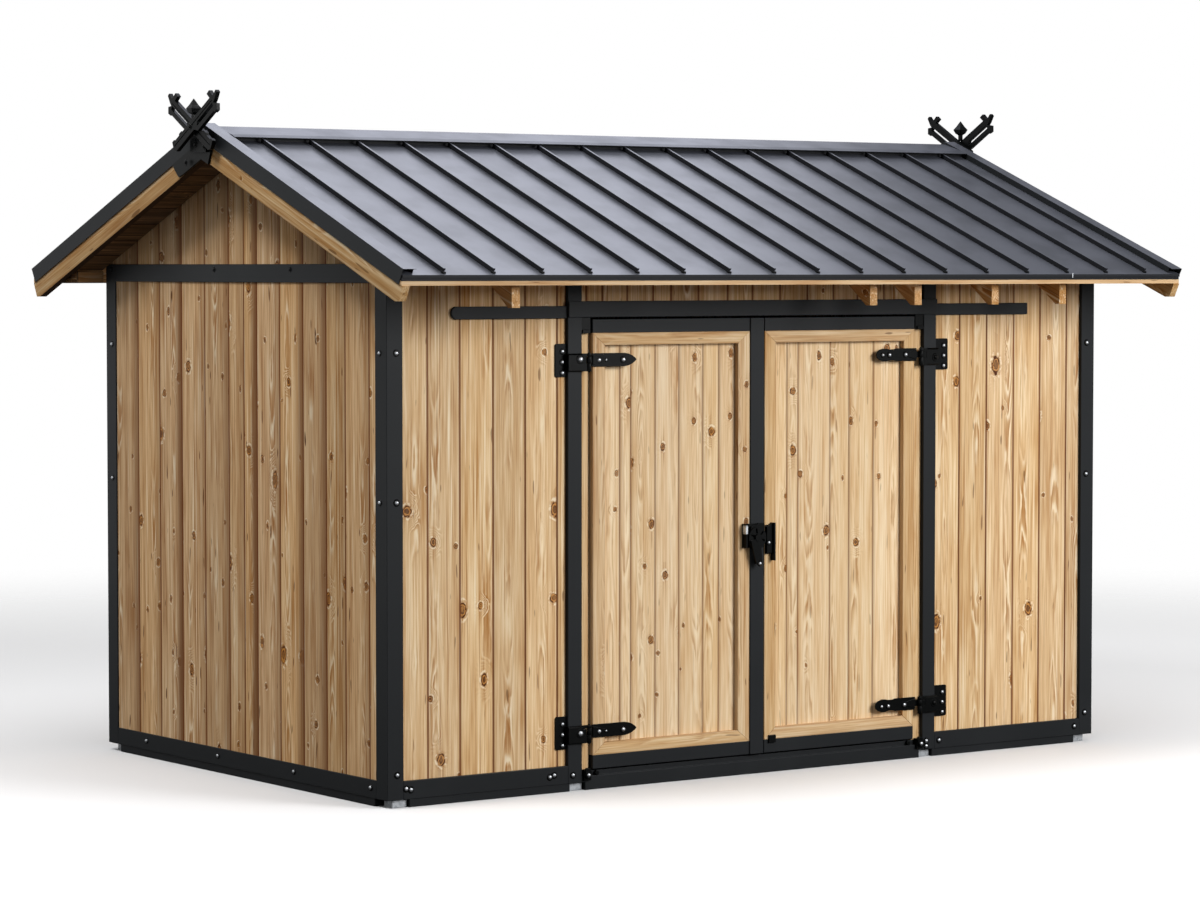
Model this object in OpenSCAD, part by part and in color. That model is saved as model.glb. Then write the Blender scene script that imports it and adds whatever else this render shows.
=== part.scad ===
// Wooden garden shed: black steel frame, vertical timber boards, a gable
// roof in standing-seam steel sheet and a pair of outward-opening doors.
// Frame: X along the front, -Y is the front, +Z up, millimetres. The origin
// is on the ground at the middle of the footprint.

/* [Footprint] */
// Length over the corner posts
shed_l = 3700; // [3300:10:4400]
// Depth over the corner posts
shed_d = 2270; // [1900:10:2800]
// Height of the underside of the roof boards at the eave edge
eave_h = 2032; // [1990:1:2300]

/* [Steel frame] */
// Corner post size along the front
post_x = 74; // [60:1:100]
// Corner post size along the gable
post_y = 84; // [60:1:100]
// Wall thickness of the box-section posts and beams
tube_t = 3; // [2:0.5:5]
// Door post size along the front
door_post_x = 68; // [50:1:90]
// Door post depth, also the depth of the header
door_post_y = 45; // [35:1:60]
// Height of the post feet and of the runners under the sills
foot_h = 32; // [20:1:60]
// Width of a post foot
foot_w = 66; // [50:1:74]
// Height of the steel sill rails
sill_h = 72; // [60:1:90]
// Depth of the steel sill rails and of the threshold
sill_t = 60; // [50:1:80]
// Height of the gable tie beams
tie_h = 74; // [50:1:100]
// Height of the gable tie beams' tops above the eave
tie_rise = 83; // [60:1:140]

/* [Walls] */
// Thickness of the wall boards
wall_t = 28; // [18:1:40]
// Set-back of the front and back boards behind the posts' faces
front_recess = 17; // [4:1:25]
// Set-back of the gable boards behind the posts' faces
side_recess = 6; // [2:1:15]

/* [Floor] */
// Thickness of the floor deck
deck_t = 24; // [18:1:32]
// Height of the floor's top face
floor_z = 76; // [70:1:90]
// Width of a floor joist
joist_w = 45; // [38:1:70]
// Distance between floor joists
joist_pitch = 580; // [400:10:700]

/* [Doorway] */
// Clear width between the door posts
door_w = 1791; // [1500:1:2000]
// Offset of the doorway's middle from the shed's middle
door_shift = -30.5; // [-150:0.5:150]
// Distance from the eave down to the underside of the door header
header_drop = 130; // [100:1:200]
// Height of the door header
header_h = 65; // [50:1:90]
// Thickness of the header's flat cover over the posts
header_lap = 8; // [5:1:15]
// Height of the flat bars beside the header
bar_h = 50; // [40:1:60]
// Length of each flat bar beside the header
bar_l = 552; // [300:1:700]
// Width of the timber jambs
jamb_w = 45; // [30:1:50]
// Set-back of the jambs behind the posts' faces
jamb_recess = 20; // [10:1:30]
// Height of the threshold's lower step
step_h = 56; // [40:1:64]
// Set-back of the threshold's upper lip
lip_recess = 14; // [8:1:25]

/* [Door leaves] */
// Thickness of a leaf
leaf_t = 45; // [40:1:60]
// Gap between a leaf and its jamb
side_gap = 8; // [6:0.5:12]
// Gap between a leaf and the header
top_gap = 8; // [6:0.5:12]
// Gap between a leaf and the threshold
bottom_gap = 7; // [6:0.5:12]
// Gap between the meeting edges of the leaves
meet_gap = 8; // [7:0.5:12]
// Width of the steel strip at the meeting edge
strip_w = 70; // [50:1:90]
// How far the strip stands out of the leaves
strip_out = 6; // [3:1:12]
// Offset of the gap between the leaves from the doorway's middle
meet_shift = 28.5; // [0:0.5:60]
// Height of the steel rails at the top and bottom of a leaf
leaf_rail_h = 55; // [40:1:80]
// Width of the timber frame's stiles
stile_w = 60; // [45:1:80]
// Height of the timber frame's rails
rail_h = 49; // [40:1:70]
// Thickness of the timber frame
frame_t = 30; // [24:1:36]
// Set-back of a leaf's boards behind its frame's face
board_recess = 24; // [12:1:28]

/* [Hinges] */
// Distance from the top of the leaves down to the upper hinges' middle
hinge_drop = 163; // [110:1:400]
// Height of the lower hinges' middle
hinge_low_z = 237; // [200:1:400]
// Distance from a door post to its hinge pin
pin_offset = 26; // [18:1:30]
// Distance of the hinge pin in front of the leaves' face
pin_out = 12; // [10:1:18]
// Radius of the hinge pins
pin_r = 4.5; // [3:0.5:6]
// Radius of the hinge knuckles
knuckle_r = 10; // [8:0.5:12]
// Height of a hinge strap
strap_h = 54; // [40:1:70]
// Length of a hinge strap from its pin
strap_l = 240; // [160:1:320]
// Thickness of the hinge plates and straps
hinge_t = 6; // [4:0.5:8]
// Height of a hinge's wall plate
plate_h = 133; // [90:1:180]
// Width of the left hinges' wall plates beside the post
plate_w = 54; // [40:1:70]
// Width of the right hinges' wall plates beside the post
plate_w_right = 75; // [50:1:90]

/* [Roof] */
// Pitch of the roof in degrees
pitch = 21.4; // [15:0.1:30]
// Overhang of the roof boards in front of the posts
eave_over = 363; // [200:1:450]
// Overhang of the roof beyond the posts at each gable
verge_over = 165; // [120:1:260]
// Thickness of the roof boards
board_t = 16; // [12:1:25]
// Height of the battens between roof boards and sheet
batten_t = 22; // [15:1:38]
// Thickness of the roof sheet and its trims
sheet_t = 2; // [1:0.5:3]
// Height of the standing seams above the sheet
seam_h = 25; // [15:1:40]
// Distance between standing seams
seam_pitch = 227; // [180:1:300]
// Half width of the ridge cap
cap_w = 160; // [130:1:220]
// Slope of the ridge cap's middle part in degrees
cap_pitch = 15.5; // [8:0.5:20]
// Vertical depth of the rafters and barge boards
rafter_h = 78; // [60:1:110]
// Thickness of the rafters
rafter_w = 38; // [32:1:60]
// Height of the rafter tails' end faces
tail_h = 110; // [80:1:130]
// Thickness of the barge boards
barge_t = 32; // [22:1:45]

/* [Ridge finials] */
// Length of a crossed arm from the crossing up to its claw
arm_reach = 202; // [160:2:300]
// Length of a crossed arm from the crossing down to its foot
arm_foot = 172; // [120:2:240]
// Depth of the arms' upper bars
arm_bar = 30; // [24:1:44]
// Width of the slot between the bars of an arm
arm_slot = 15; // [8:1:24]
// Depth of the arms' lower bars
arm_rail = 20; // [14:1:30]
// Thickness of the arms across the gable
arm_t = 18; // [12:1:30]
// Slope of the arms in degrees
arm_pitch = 30; // [24:0.5:40]
// Height of the spike on the crossing
spike_h = 96; // [60:1:140]
// Width of the spike
spike_w = 50; // [36:1:80]
// Reach of the apex plate along the back slope
plate_back = 240; // [160:5:300]
// Reach of the apex plate along the front slope
plate_front = 84; // [70:2:200]

/* [Hidden] */

STEEL = "#2d2f30";
TIMBER = "#d2a66f";
GALV = "#b9bcbe";
$fn = 48;

hx = shed_l / 2;
hy = shed_d / 2;
fit = 0.3;

// Heights of the walls
sill_z = foot_h + sill_h;
tie_top = eave_h + tie_rise;
header_z = eave_h - header_drop;
eave_y = hy + eave_over;
slope = tan(pitch);
// Height of the roof at distance u from the ridge plane, n above the boards' underside
function roof_z(u, n = 0) = eave_h + (eave_y - u) * slope + n / cos(pitch);
sheet_n = board_t + batten_t;
pan_n = sheet_n + sheet_t;
verge_n = pan_n + seam_h;

// Doorway
door_x0 = door_shift - door_w / 2;
door_x1 = door_shift + door_w / 2;
meet_x = door_shift + meet_shift;
leaf_z0 = floor_z + bottom_gap;
leaf_z1 = header_z - top_gap;
rail_z0 = leaf_z0 + leaf_rail_h;
rail_z1 = leaf_z1 - leaf_rail_h;

hinge_top_z = leaf_z1 - hinge_drop;

// Places of the front leaf plane and its pins
face_y = -hy;
pin_y = face_y - pin_out;
left_pin_x = door_x0 + pin_offset;
right_pin_x = door_x1 - pin_offset;

// Extrudes a polygon of [y, z] points from x0 to x1
module along_x(x0, x1) {
    translate([x0, 0, 0]) rotate([90, 0, 90]) linear_extrude(x1 - x0) children();
}

// A box given by its low and high corners
module box(low, high) {
    translate(low) cube(high - low);
}

// A closed square tube along Z between two corners
module tube_z(low, high) {
    difference() {
        box(low, high);
        box(low + [tube_t, tube_t, tube_t], high - [tube_t, tube_t, tube_t]);
    }
}

// Copies its children to the other gable, or to the back
module both_x() {
    children();
    mirror([1, 0, 0]) children();
}
module both_y() {
    children();
    mirror([0, 1, 0]) children();
}

// Everything below the roof boards
module under_roof() {
    along_x(-hx * 2, hx * 2)
        polygon([[-eave_y, 0], [eave_y, 0], [eave_y, roof_z(eave_y)], [0, roof_z(0)],
            [-eave_y, roof_z(eave_y)]]);
}

// ---- Base ----

// Middles of the feet along the front: corner posts, then door posts
foot_inset = 67;
door_foot_shift = 14;
foot_y = hy - post_y / 2 - 8;
feet_x = [-hx + foot_inset, door_x0 - door_post_x / 2 + door_foot_shift,
    door_x1 + door_post_x / 2 - door_foot_shift, hx - foot_inset];
foot_d = 60;

module feet() {
    color(GALV) for (x = feet_x) both_y()
        translate([x - foot_w / 2, -hy + 20, 0]) cube([foot_w, foot_d, foot_h]);
}

runner_inset = 4;
runner_gap = 4;
runner_w = 60;
joist_in = 110;
side_joist_x = hx - joist_in;
runner_end = 100;

module base_frame() {
    corner_x = hx - foot_inset - foot_w / 2 - runner_gap;
    inner_x = side_joist_x - joist_w / 2;
    outer_y = hy - runner_inset;
    rail_y = hy - sill_t - runner_w;
    color(STEEL) {
        both_y() {
            // Runners under the sills
            box([-corner_x, -outer_y, 0], [feet_x[1] - foot_w / 2 - runner_gap, -hy + sill_t, foot_h]);
            box([feet_x[2] + foot_w / 2 + runner_gap, -outer_y, 0], [corner_x, -hy + sill_t, foot_h]);
            // Cross rail that carries the joists' ends
            box([-inner_x, -hy + sill_t + 22, 0], [inner_x, -rail_y, foot_h]);
        }
        both_x() {
            box([-hx + runner_inset, -hy + runner_end, 0],
                [-side_joist_x - joist_w / 2 - fit, hy - runner_end, foot_h]);
            box([-side_joist_x - joist_w / 2, -hy + runner_end, 0],
                [-side_joist_x + joist_w / 2 - fit, hy - runner_end, floor_z - deck_t]);
        }
        for (i = [-2 : 2])
            box([i * joist_pitch - joist_w / 2, -rail_y + fit, 0],
                [i * joist_pitch + joist_w / 2, rail_y - fit, floor_z - deck_t]);
    }
}

module floor_deck() {
    color(TIMBER) difference() {
        box([-hx + sill_t, -hy + sill_t, floor_z - deck_t], [hx - sill_t, hy - sill_t, floor_z]);
        for (sx = [-1, 1], sy = [-1, 1])
            translate([sx * hx, sy * hy, floor_z]) cube([2 * post_x, 2 * post_y, 3 * deck_t], center = true);
    }
}

// ---- Sills ----

module front_sills() {
    color(STEEL) {
        box([-hx + post_x, -hy, foot_h], [door_x0 - door_post_x, -hy + sill_t, sill_z]);
        box([door_x1 + door_post_x, -hy, foot_h], [hx - post_x, -hy + sill_t, sill_z]);
    }
}

module side_sills() {
    color(STEEL) both_x()
        box([-hx, -hy + post_y, foot_h], [-hx + sill_t, hy - post_y, sill_z]);
}

module back_sills() {
    color(STEEL) {
        box([-hx + post_x, hy - sill_t, foot_h], [door_x0 - door_post_x, hy, sill_z]);
        box([door_x0, hy - sill_t, foot_h], [door_x1, hy, sill_z]);
        box([door_x1 + door_post_x, hy - sill_t, foot_h], [hx - post_x, hy, sill_z]);
    }
}

module door_threshold() {
    under_x0 = feet_x[1] + foot_w / 2 + runner_gap;
    under_x1 = feet_x[2] - foot_w / 2 - runner_gap;
    color(STEEL) {
        box([door_x0, -hy + 2, foot_h], [door_x1, -hy + sill_t, step_h]);
        box([under_x0, -hy + 2, 0], [under_x1, -hy + sill_t, foot_h]);
        box([door_x0, -hy + lip_recess, step_h], [door_x1, -hy + sill_t, floor_z]);
    }
}

// ---- Posts and beams ----

module corner_posts() {
    color(STEEL) both_x() both_y()
        tube_z([-hx, -hy, foot_h], [-hx + post_x, -hy + post_y, tie_top]);
}

module door_posts() {
    color(STEEL) intersection() {
        union() {
            tube_z([door_x0 - door_post_x, -hy, foot_h], [door_x0, -hy + door_post_y, roof_z(hy) - 3]);
            tube_z([door_x1, -hy, foot_h], [door_x1 + door_post_x, -hy + door_post_y, roof_z(hy) - 3]);
        }
        under_roof();
    }
}

module back_posts() {
    color(STEEL) mirror([0, 1, 0]) {
        tube_z([door_x0 - door_post_x, -hy, foot_h], [door_x0, -hy + door_post_y, roof_z(hy) - 3]);
        tube_z([door_x1, -hy, foot_h], [door_x1 + door_post_x, -hy + door_post_y, roof_z(hy) - 3]);
    }
}

tie_t = 45;

module tie_beams() {
    color(STEEL) both_x()
        box([-hx, -hy + post_y, tie_top - tie_h], [-hx + tie_t, hy - post_y, tie_top]);
}

module door_header() {
    color(STEEL) {
        box([door_x0, -hy, header_z], [door_x1, -hy + door_post_y, header_z + header_h]);
        box([door_x0 - door_post_x, -hy - header_lap, header_z],
            [door_x1 + door_post_x, -hy, header_z + header_h]);
    }
}

bar_t = 12;

module header_bars() {
    bar_y1 = -hy + front_recess;
    x0 = door_x0 - door_post_x - bar_l;
    x1 = door_x1 + door_post_x;
    color(STEEL) {
        translate([0, bar_y1, header_z - 4]) rotate([90, 0, 0]) linear_extrude(bar_t) union() {
            translate([x0 + bar_h / 2, 0]) square([bar_l - bar_h / 2, bar_h]);
            translate([x0 + bar_h / 2, bar_h / 2]) circle(d = bar_h);
        }
        box([x1, bar_y1 - bar_t, header_z - 4], [x1 + bar_l - 25, bar_y1, header_z - 4 + bar_h]);
    }
}

module door_jambs() {
    jamb_top = header_z - pivot_h;
    color(TIMBER) for (x = [door_x0, door_x1 - jamb_w])
        box([x, -hy + jamb_recess, floor_z], [x + jamb_w, -hy + sill_t, jamb_top]);
}

// ---- Walls ----

// A stretch of front wall from x0 to x1, standing on z0
module front_boards(x0, x1, z0) {
    box([x0, -hy + front_recess, z0], [x1, -hy + front_recess + wall_t, roof_z(0)]);
}

// Closes the wall over a corner post, above the tie beams
module over_post() {
    box([-hx + side_recess + wall_t, -hy + front_recess, tie_top],
        [-hx + post_x, -hy + front_recess + wall_t, roof_z(0)]);
}

module front_wall_left() {
    color(TIMBER) intersection() {
        union() {
            front_boards(-hx + post_x, door_x0 - door_post_x, sill_z);
            over_post();
        }
        under_roof();
        rafter_notches();
    }
}

module front_wall_right() {
    color(TIMBER) intersection() {
        union() {
            front_boards(door_x1 + door_post_x, hx - post_x, sill_z);
            mirror([1, 0, 0]) over_post();
        }
        under_roof();
        rafter_notches();
    }
}

module front_wall_over_door() {
    color(TIMBER) intersection() {
        front_boards(door_x0, door_x1, header_z + header_h);
        under_roof();
        rafter_notches();
    }
}

module back_wall() {
    color(TIMBER) intersection() {
        mirror([0, 1, 0]) {
            front_boards(-hx + post_x, door_x0 - door_post_x, sill_z);
            over_post();
            front_boards(door_x0, door_x1, sill_z);
            front_boards(door_x1 + door_post_x, hx - post_x, sill_z);
            mirror([1, 0, 0]) over_post();
        }
        under_roof();
        rafter_notches();
    }
}

module gable_wall() {
    x0 = -hx + side_recess;
    intersection() {
        union() {
            box([x0, -hy + post_y, sill_z], [x0 + wall_t, hy - post_y, tie_top - tie_h]);
            box([x0, -hy + front_recess, tie_top], [x0 + wall_t, hy - front_recess, roof_z(0)]);
        }
        under_roof();
    }
}

module left_gable_wall() {
    color(TIMBER) gable_wall();
}

module right_gable_wall() {
    color(TIMBER) mirror([1, 0, 0]) gable_wall();
}

// ---- Roof carriers ----

plate_d = 60;
plate_z1 = eave_h + 96;
plate_drop = 70;
plate_y = -hy + front_recess + wall_t;

module wall_plates() {
    color(TIMBER) both_y()
        box([-hx + post_x, plate_y, plate_z1 - plate_drop], [hx - post_x, plate_y + plate_d, plate_z1]);
}

ridge_w = 45;
ridge_h = 120;

module ridge_beam() {
    end_x = hx - side_recess - wall_t;
    color(TIMBER) intersection() {
        box([-end_x, -ridge_w / 2, roof_z(0) - ridge_h], [end_x, ridge_w / 2, roof_z(0)]);
        under_roof();
    }
}

// Middles of the rafters whose tails show under the eave, and of those that end at the wall
long_rafters = [-1452, 334, 574, 1000, 1384];
short_rafters = [-860, -290];
tail_in = 60;
tail_foot = 26;
tail_run = 150;

// Outline of a rafter that hangs down in a corbelled tail at its eave end
module tailed_rafter() {
    u0 = eave_y - tail_in;
    u1 = ridge_w / 2;
    polygon([[-u1, roof_z(u1) - rafter_h], [-u1, roof_z(u1)], [-u0, roof_z(u0)],
        [-u0, roof_z(u0) - tail_h], [-u0 + tail_foot, roof_z(u0) - tail_h],
        [-u0 + tail_run, roof_z(u0 - tail_run) - rafter_h]]);
}

// Outline of a barge board down one slope, with a leaning end and a nibbed foot
module barge_outline() {
    end_h = 0.72 * rafter_h;
    u0 = eave_y + 0.3 * verge_tip;
    u1 = ridge_joint;
    foot_u = u0 - verge_lean * end_h;
    nib_u = foot_u - end_h / 2;
    polygon([[-u1, roof_z(u1) - rafter_h], [-u1, roof_z(u1)], [-u0, roof_z(u0)],
        [-foot_u, roof_z(u0) - end_h], [-nib_u, roof_z(nib_u) - rafter_h]]);
}

module front_rafters() {
    for (x = long_rafters) along_x(x - rafter_w / 2, x + rafter_w / 2) tailed_rafter();
    for (x = short_rafters) along_x(x - rafter_w / 2, x + rafter_w / 2)
        polygon([[plate_y, roof_z(-plate_y) - rafter_h], [-ridge_w / 2, roof_z(ridge_w / 2) - rafter_h],
            [-ridge_w / 2, roof_z(ridge_w / 2)], [plate_y, roof_z(-plate_y)]]);
}

// Space of the walls' top edges between the rafters
module rafter_notches() {
    difference() {
        box([-2 * hx, -2 * hy, 0], [2 * hx, 2 * hy, roof_z(0)]);
        both_y() front_rafters();
    }
}

module rafters() {
    color(TIMBER) difference() {
        both_y() front_rafters();
        both_y() box([-hx, plate_y, plate_z1 - plate_drop], [hx, plate_y + plate_d, plate_z1]);
    }
}

// ---- Roof covering ----

roof_x = hx + verge_over;
cover_x = roof_x - sheet_t - 1;

// A layer of the front slope, from n0 to n1 above the boards' underside
module layer(x, u0, u1, n0, n1) {
    along_x(-x, x) polygon([[-u0, roof_z(u0, n0)], [-u1, roof_z(u1, n0)],
        [-u1, roof_z(u1, n1)], [-u0, roof_z(u0, n1)]]);
}

ridge_joint = 0.2;

module roof_boards_front() {
    color(TIMBER) layer(cover_x, eave_y, ridge_joint, fit, board_t);
}

module roof_boards_back() {
    color(TIMBER) mirror([0, 1, 0]) layer(cover_x, eave_y, ridge_joint, fit, board_t);
}

batten_w = 50;
batten_count = 4;

module roof_battens() {
    run = eave_y - 2 * batten_w;
    color(TIMBER) both_y() for (i = [0 : batten_count - 1]) {
        u = batten_w + 12 + run * i / batten_count;
        layer(cover_x, u + batten_w / 2, u - batten_w / 2, board_t + fit, sheet_n - fit);
    }
}

eave_trim_w = 30;

module eave_trims() {
    color(STEEL) both_y() layer(cover_x, eave_y, eave_y - eave_trim_w, board_t + fit, sheet_n - fit);
}

sheet_over = 6;
seam_count = floor((cover_x - 40) / seam_pitch);
ridge_open = 30;
cap_edge = 30;

// Folded seam seen along the slope: a stem and a hooked head
module seam_outline() {
    root = -sheet_t / 2;
    polygon([[-3, root], [2, root], [2, seam_h - 9], [6, seam_h - 9], [6, seam_h], [-3, seam_h]]);
}

// Moves its children to the sheet's top face: x along the eave, y up the slope
module on_slope() {
    translate([0, -eave_y, roof_z(eave_y, pan_n)]) rotate([pitch, 0, 0]) children();
}

module roof_sheet() {
    verge_x = roof_x - verge_w;
    seam_top = (eave_y - cap_w + cap_edge - 5) / cos(pitch);
    union() {
        layer(verge_x + verge_w - 2 * sheet_t, eave_y + sheet_over, ridge_open, sheet_n, pan_n);
        // Hem turned down in front of the eave trim
        along_x(-cover_x + 1, cover_x - 1)
            polygon([[-eave_y - sheet_over, roof_z(eave_y + sheet_over, pan_n)],
                [-eave_y - sheet_over, roof_z(eave_y + sheet_over, sheet_n) - 9],
                [-eave_y - sheet_over + sheet_t, roof_z(eave_y + sheet_over, sheet_n) - 9],
                [-eave_y - sheet_over + sheet_t, roof_z(eave_y + sheet_over - sheet_t, pan_n)]]);
        on_slope() for (i = [-seam_count : seam_count])
            translate([i * seam_pitch, seam_top, 0]) rotate([90, 0, 0])
                linear_extrude(seam_top - 14) seam_outline();
    }
}

module roof_sheet_front() {
    color(STEEL) roof_sheet();
}

module roof_sheet_back() {
    color(STEEL) mirror([0, 1, 0]) roof_sheet();
}

verge_w = 60;

module ridge_cap() {
    cap_x = roof_x - verge_w - 1;
    edge_z = roof_z(cap_w, verge_n) + fit;
    knee_u = cap_w - cap_edge;
    knee_z = roof_z(knee_u, verge_n) + fit;
    peak_z = knee_z + knee_u * tan(cap_pitch);
    v = sheet_t * 1.1;
    closure_u = cap_w - cap_edge - 8;
    color(STEEL) {
        along_x(-cap_x, cap_x) polygon([[-cap_w, edge_z], [-knee_u, knee_z], [0, peak_z],
            [knee_u, knee_z], [cap_w, edge_z], [cap_w, edge_z + v], [knee_u, knee_z + v],
            [0, peak_z + v], [-knee_u, knee_z + v], [-cap_w, edge_z + v]]);
        // Closure strips between the sheet and the cap
        both_y() along_x(-cap_x, cap_x)
            polygon([[-closure_u, roof_z(closure_u, pan_n) + 0.2],
                [-closure_u + 3, roof_z(closure_u - 3, pan_n) + 0.2],
                [-closure_u + 3, knee_z + 2], [-closure_u, knee_z + 1]]);
    }
}

verge_tip = 16;
// Lean of the verge's cut ends: run inwards for each unit of height
verge_lean = 0.5;

module verge_trims() {
    color(STEEL) both_y() both_x() along_slope_strip();
}

// One verge trim: outer leg, top flange and inner leg on the sheet
module along_slope_strip() {
    u0 = eave_y + verge_tip;
    module strip(x0, x1, n0, n1, start = u0) {
        low_u = start - verge_lean * (verge_n - n0);
        high_u = start - verge_lean * (verge_n - n1);
        along_x(x0, x1) polygon([[-low_u, roof_z(low_u, n0)], [-ridge_joint, roof_z(ridge_joint, n0)],
            [-ridge_joint, roof_z(ridge_joint, n1)], [-high_u, roof_z(high_u, n1)]]);
    }
    union() {
        strip(-roof_x, -roof_x + sheet_t, -1, verge_n);
        strip(-roof_x, -roof_x + verge_w, verge_n - sheet_t, verge_n);
        strip(-roof_x + verge_w - sheet_t, -roof_x + verge_w, pan_n + fit, verge_n, eave_y);
    }
}

module barge_boards() {
    x0 = roof_x - sheet_t - 3;
    color(TIMBER) both_y() both_x() along_x(-x0, -x0 + barge_t) barge_outline();
}

// ---- Ridge finials ----

apex_z = roof_z(0, verge_n);
// Height at which the arms' upper edges cross
cross_z = apex_z + 3;
plate_x0 = roof_x - sheet_t - 3 + fit;
plate_t = 10;
boss_x0 = roof_x + fit;
boss_t = 18;
boss_w = 124;
boss_h = 124;
arm_x0 = boss_x0 + boss_t + fit;

// Plate over the barge boards' joint, with the boss that carries the arms
module apex_plate() {
    under_trim = -1.6;
    back_toe = 0.37 * plate_back;
    front_toe = plate_front / 3;
    along_x(-plate_x0 - plate_t, -plate_x0) polygon([
        [plate_back, roof_z(plate_back, under_trim)], [0, roof_z(0, under_trim)],
        [-plate_front, roof_z(plate_front, under_trim)],
        [-plate_front + front_toe, roof_z(plate_front - front_toe) - rafter_h],
        [0, roof_z(0) - rafter_h], [plate_back - back_toe, roof_z(plate_back - back_toe) - rafter_h],
        [plate_back - 0.6 * back_toe, roof_z(plate_back - 0.6 * back_toe) - 0.95 * rafter_h]]);
    w = boss_w / 2;
    along_x(-boss_x0 - boss_t, -boss_x0) translate([0, cross_z])
        polygon([[-w, -boss_h], [w, -boss_h], [1.06 * w, -0.58 * boss_h], [0.65 * w, -0.29 * boss_h],
            [0.22 * w, -0.08 * boss_h], [-0.22 * w, -0.08 * boss_h], [-0.65 * w, -0.29 * boss_h],
            [-1.06 * w, -0.58 * boss_h]]);
    along_x(-boss_x0 - boss_t, -plate_x0 - 1) translate([0, cross_z])
        polygon([[-w, -boss_h], [w, -boss_h], [0.8 * w, -0.65 * boss_h], [-0.8 * w, -0.65 * boss_h]]);
}

module apex_plates() {
    color(STEEL) both_x() intersection() {
        apex_plate();
        union() {
            box([-2 * hx, -hy, 0], [-boss_x0, hy, cross_z]);
            below_trim();
        }
    }
}

// Everything under the verge trims' lower edges
module below_trim() {
    along_x(-2 * hx, 0) polygon([[-eave_y, 0], [eave_y, 0], [eave_y, roof_z(eave_y, -1.3)],
        [0, roof_z(0, -1.3)], [-eave_y, roof_z(eave_y, -1.3)]]);
}

// Arm rising towards +Y: two bars with a slot between them, a forked claw and a stepped foot
module arm(x0) {
    b = arm_bar;
    low = b + arm_slot + arm_rail;
    foot_low = -1.5 * b;
    translate([0, 0, cross_z]) rotate([arm_pitch, 0, 0]) difference() {
        along_x(-x0 - arm_t, -x0) polygon([
            [-arm_foot, -0.5 * b], [-arm_foot + 0.1 * b, 0.2 * b], [-arm_foot + 0.7 * b, 0.2 * b],
            [-arm_foot + 0.8 * b, 0], [-0.62 * arm_foot, 0], [-0.6 * arm_foot, 0.2 * b],
            [-0.48 * arm_foot, 0.2 * b], [-0.46 * arm_foot, 0], [arm_reach - 0.7 * b, 0],
            [arm_reach - 1.05 * b, 0.85 * b], [arm_reach - 0.25 * b, 0.95 * b],
            [arm_reach, 0.15 * b], [arm_reach + 0.35 * b, -0.2 * b], [arm_reach + 1.25 * b, 0.1 * b],
            [arm_reach + 1.4 * b, -0.35 * b], [arm_reach + 0.35 * b, -0.95 * b],
            [arm_reach - 0.1 * b, -1.1 * b], [arm_reach + 0.55 * b, -1.6 * b],
            [arm_reach + 0.1 * b, 0.1 * b - low - 0.35 * b], [arm_reach - 0.6 * b, -low - 0.2 * b],
            [arm_reach - 0.6 * b, -low], [1.2 * b, -low], [0.4 * b, foot_low],
            [-arm_foot + 0.5 * b, foot_low], [-arm_foot, foot_low + 0.4 * b]]);
        along_x(-x0 - 2 * arm_t, -x0 + arm_t) polygon([
            [1.7 * b, -b], [arm_reach - 0.4 * b, -b], [arm_reach - 0.4 * b, -b - arm_slot],
            [1.3 * b, -b - arm_slot]]);
        // Rolled groove along the outer face
        along_x(-x0 - 2 * arm_t, -x0 - 0.85 * arm_t) polygon([
            [-arm_foot + 0.5 * b, -0.72 * b], [arm_reach - 0.3 * b, -0.72 * b],
            [arm_reach - 0.3 * b, -0.58 * b], [-arm_foot + 0.5 * b, -0.58 * b]]);
    }
}

// The inner arm rises to the back and the outer one to the front
module finial_arms() {
    color(STEEL) both_x() {
        arm(arm_x0);
        mirror([0, 1, 0]) arm(arm_x0 + arm_t + fit);
    }
}

// Spearhead with a four-sided section, standing in the fork of the crossed arms
module finial_spike() {
    neck = 8;
    seat = neck * tan(arm_pitch);
    spike_x = arm_x0 + arm_t + fit / 2;
    // Half outline of the spearhead, of half width w, standing on its neck
    function half(w) = [[neck, seat], [neck, 0.3 * spike_h], [0.7 * w, 0.38 * spike_h],
        [w, 0.56 * spike_h], [0.62 * w, 0.7 * spike_h]];
    module outline(w, foot) {
        right = half(w);
        left = [for (i = [4 : -1 : 0]) [-right[i][0], right[i][1]]];
        translate([0, cross_z + fit]) polygon(concat(foot, right, [[0, spike_h]], left));
    }
    intersection() {
        along_x(-spike_x - spike_w, -spike_x + spike_w) outline(spike_w / 2, [[0, 0]]);
        translate([-spike_x, spike_w, 0]) rotate([90, 0, 0]) linear_extrude(2 * spike_w)
            outline(spike_w / 2 - 1, [[-neck, 0], [neck, 0]]);
    }
}

module finial_spikes() {
    color(STEEL) both_x() finial_spike();
}

// ---- Hinges ----

knuckle_gap = 1;
fixed_knuckle_h = 14;
hinge_zs = [hinge_low_z, hinge_top_z];
bore_r = pin_r + 0.05;
saddle_t = 14;
saddle_drop = 18;
corner_cut = 5;

// A box with chamfered front edges along its top and bottom
module saddle(x0, x1, z0, z1) {
    cut = saddle_t / 2;
    along_x(x0, x1) polygon([[-hy, z0], [-hy, z1], [-hy - saddle_t + cut, z1],
        [-hy - saddle_t, z1 - cut], [-hy - saddle_t, z0 + cut / 2], [-hy - saddle_t + cut / 2, z0]]);
}

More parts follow.
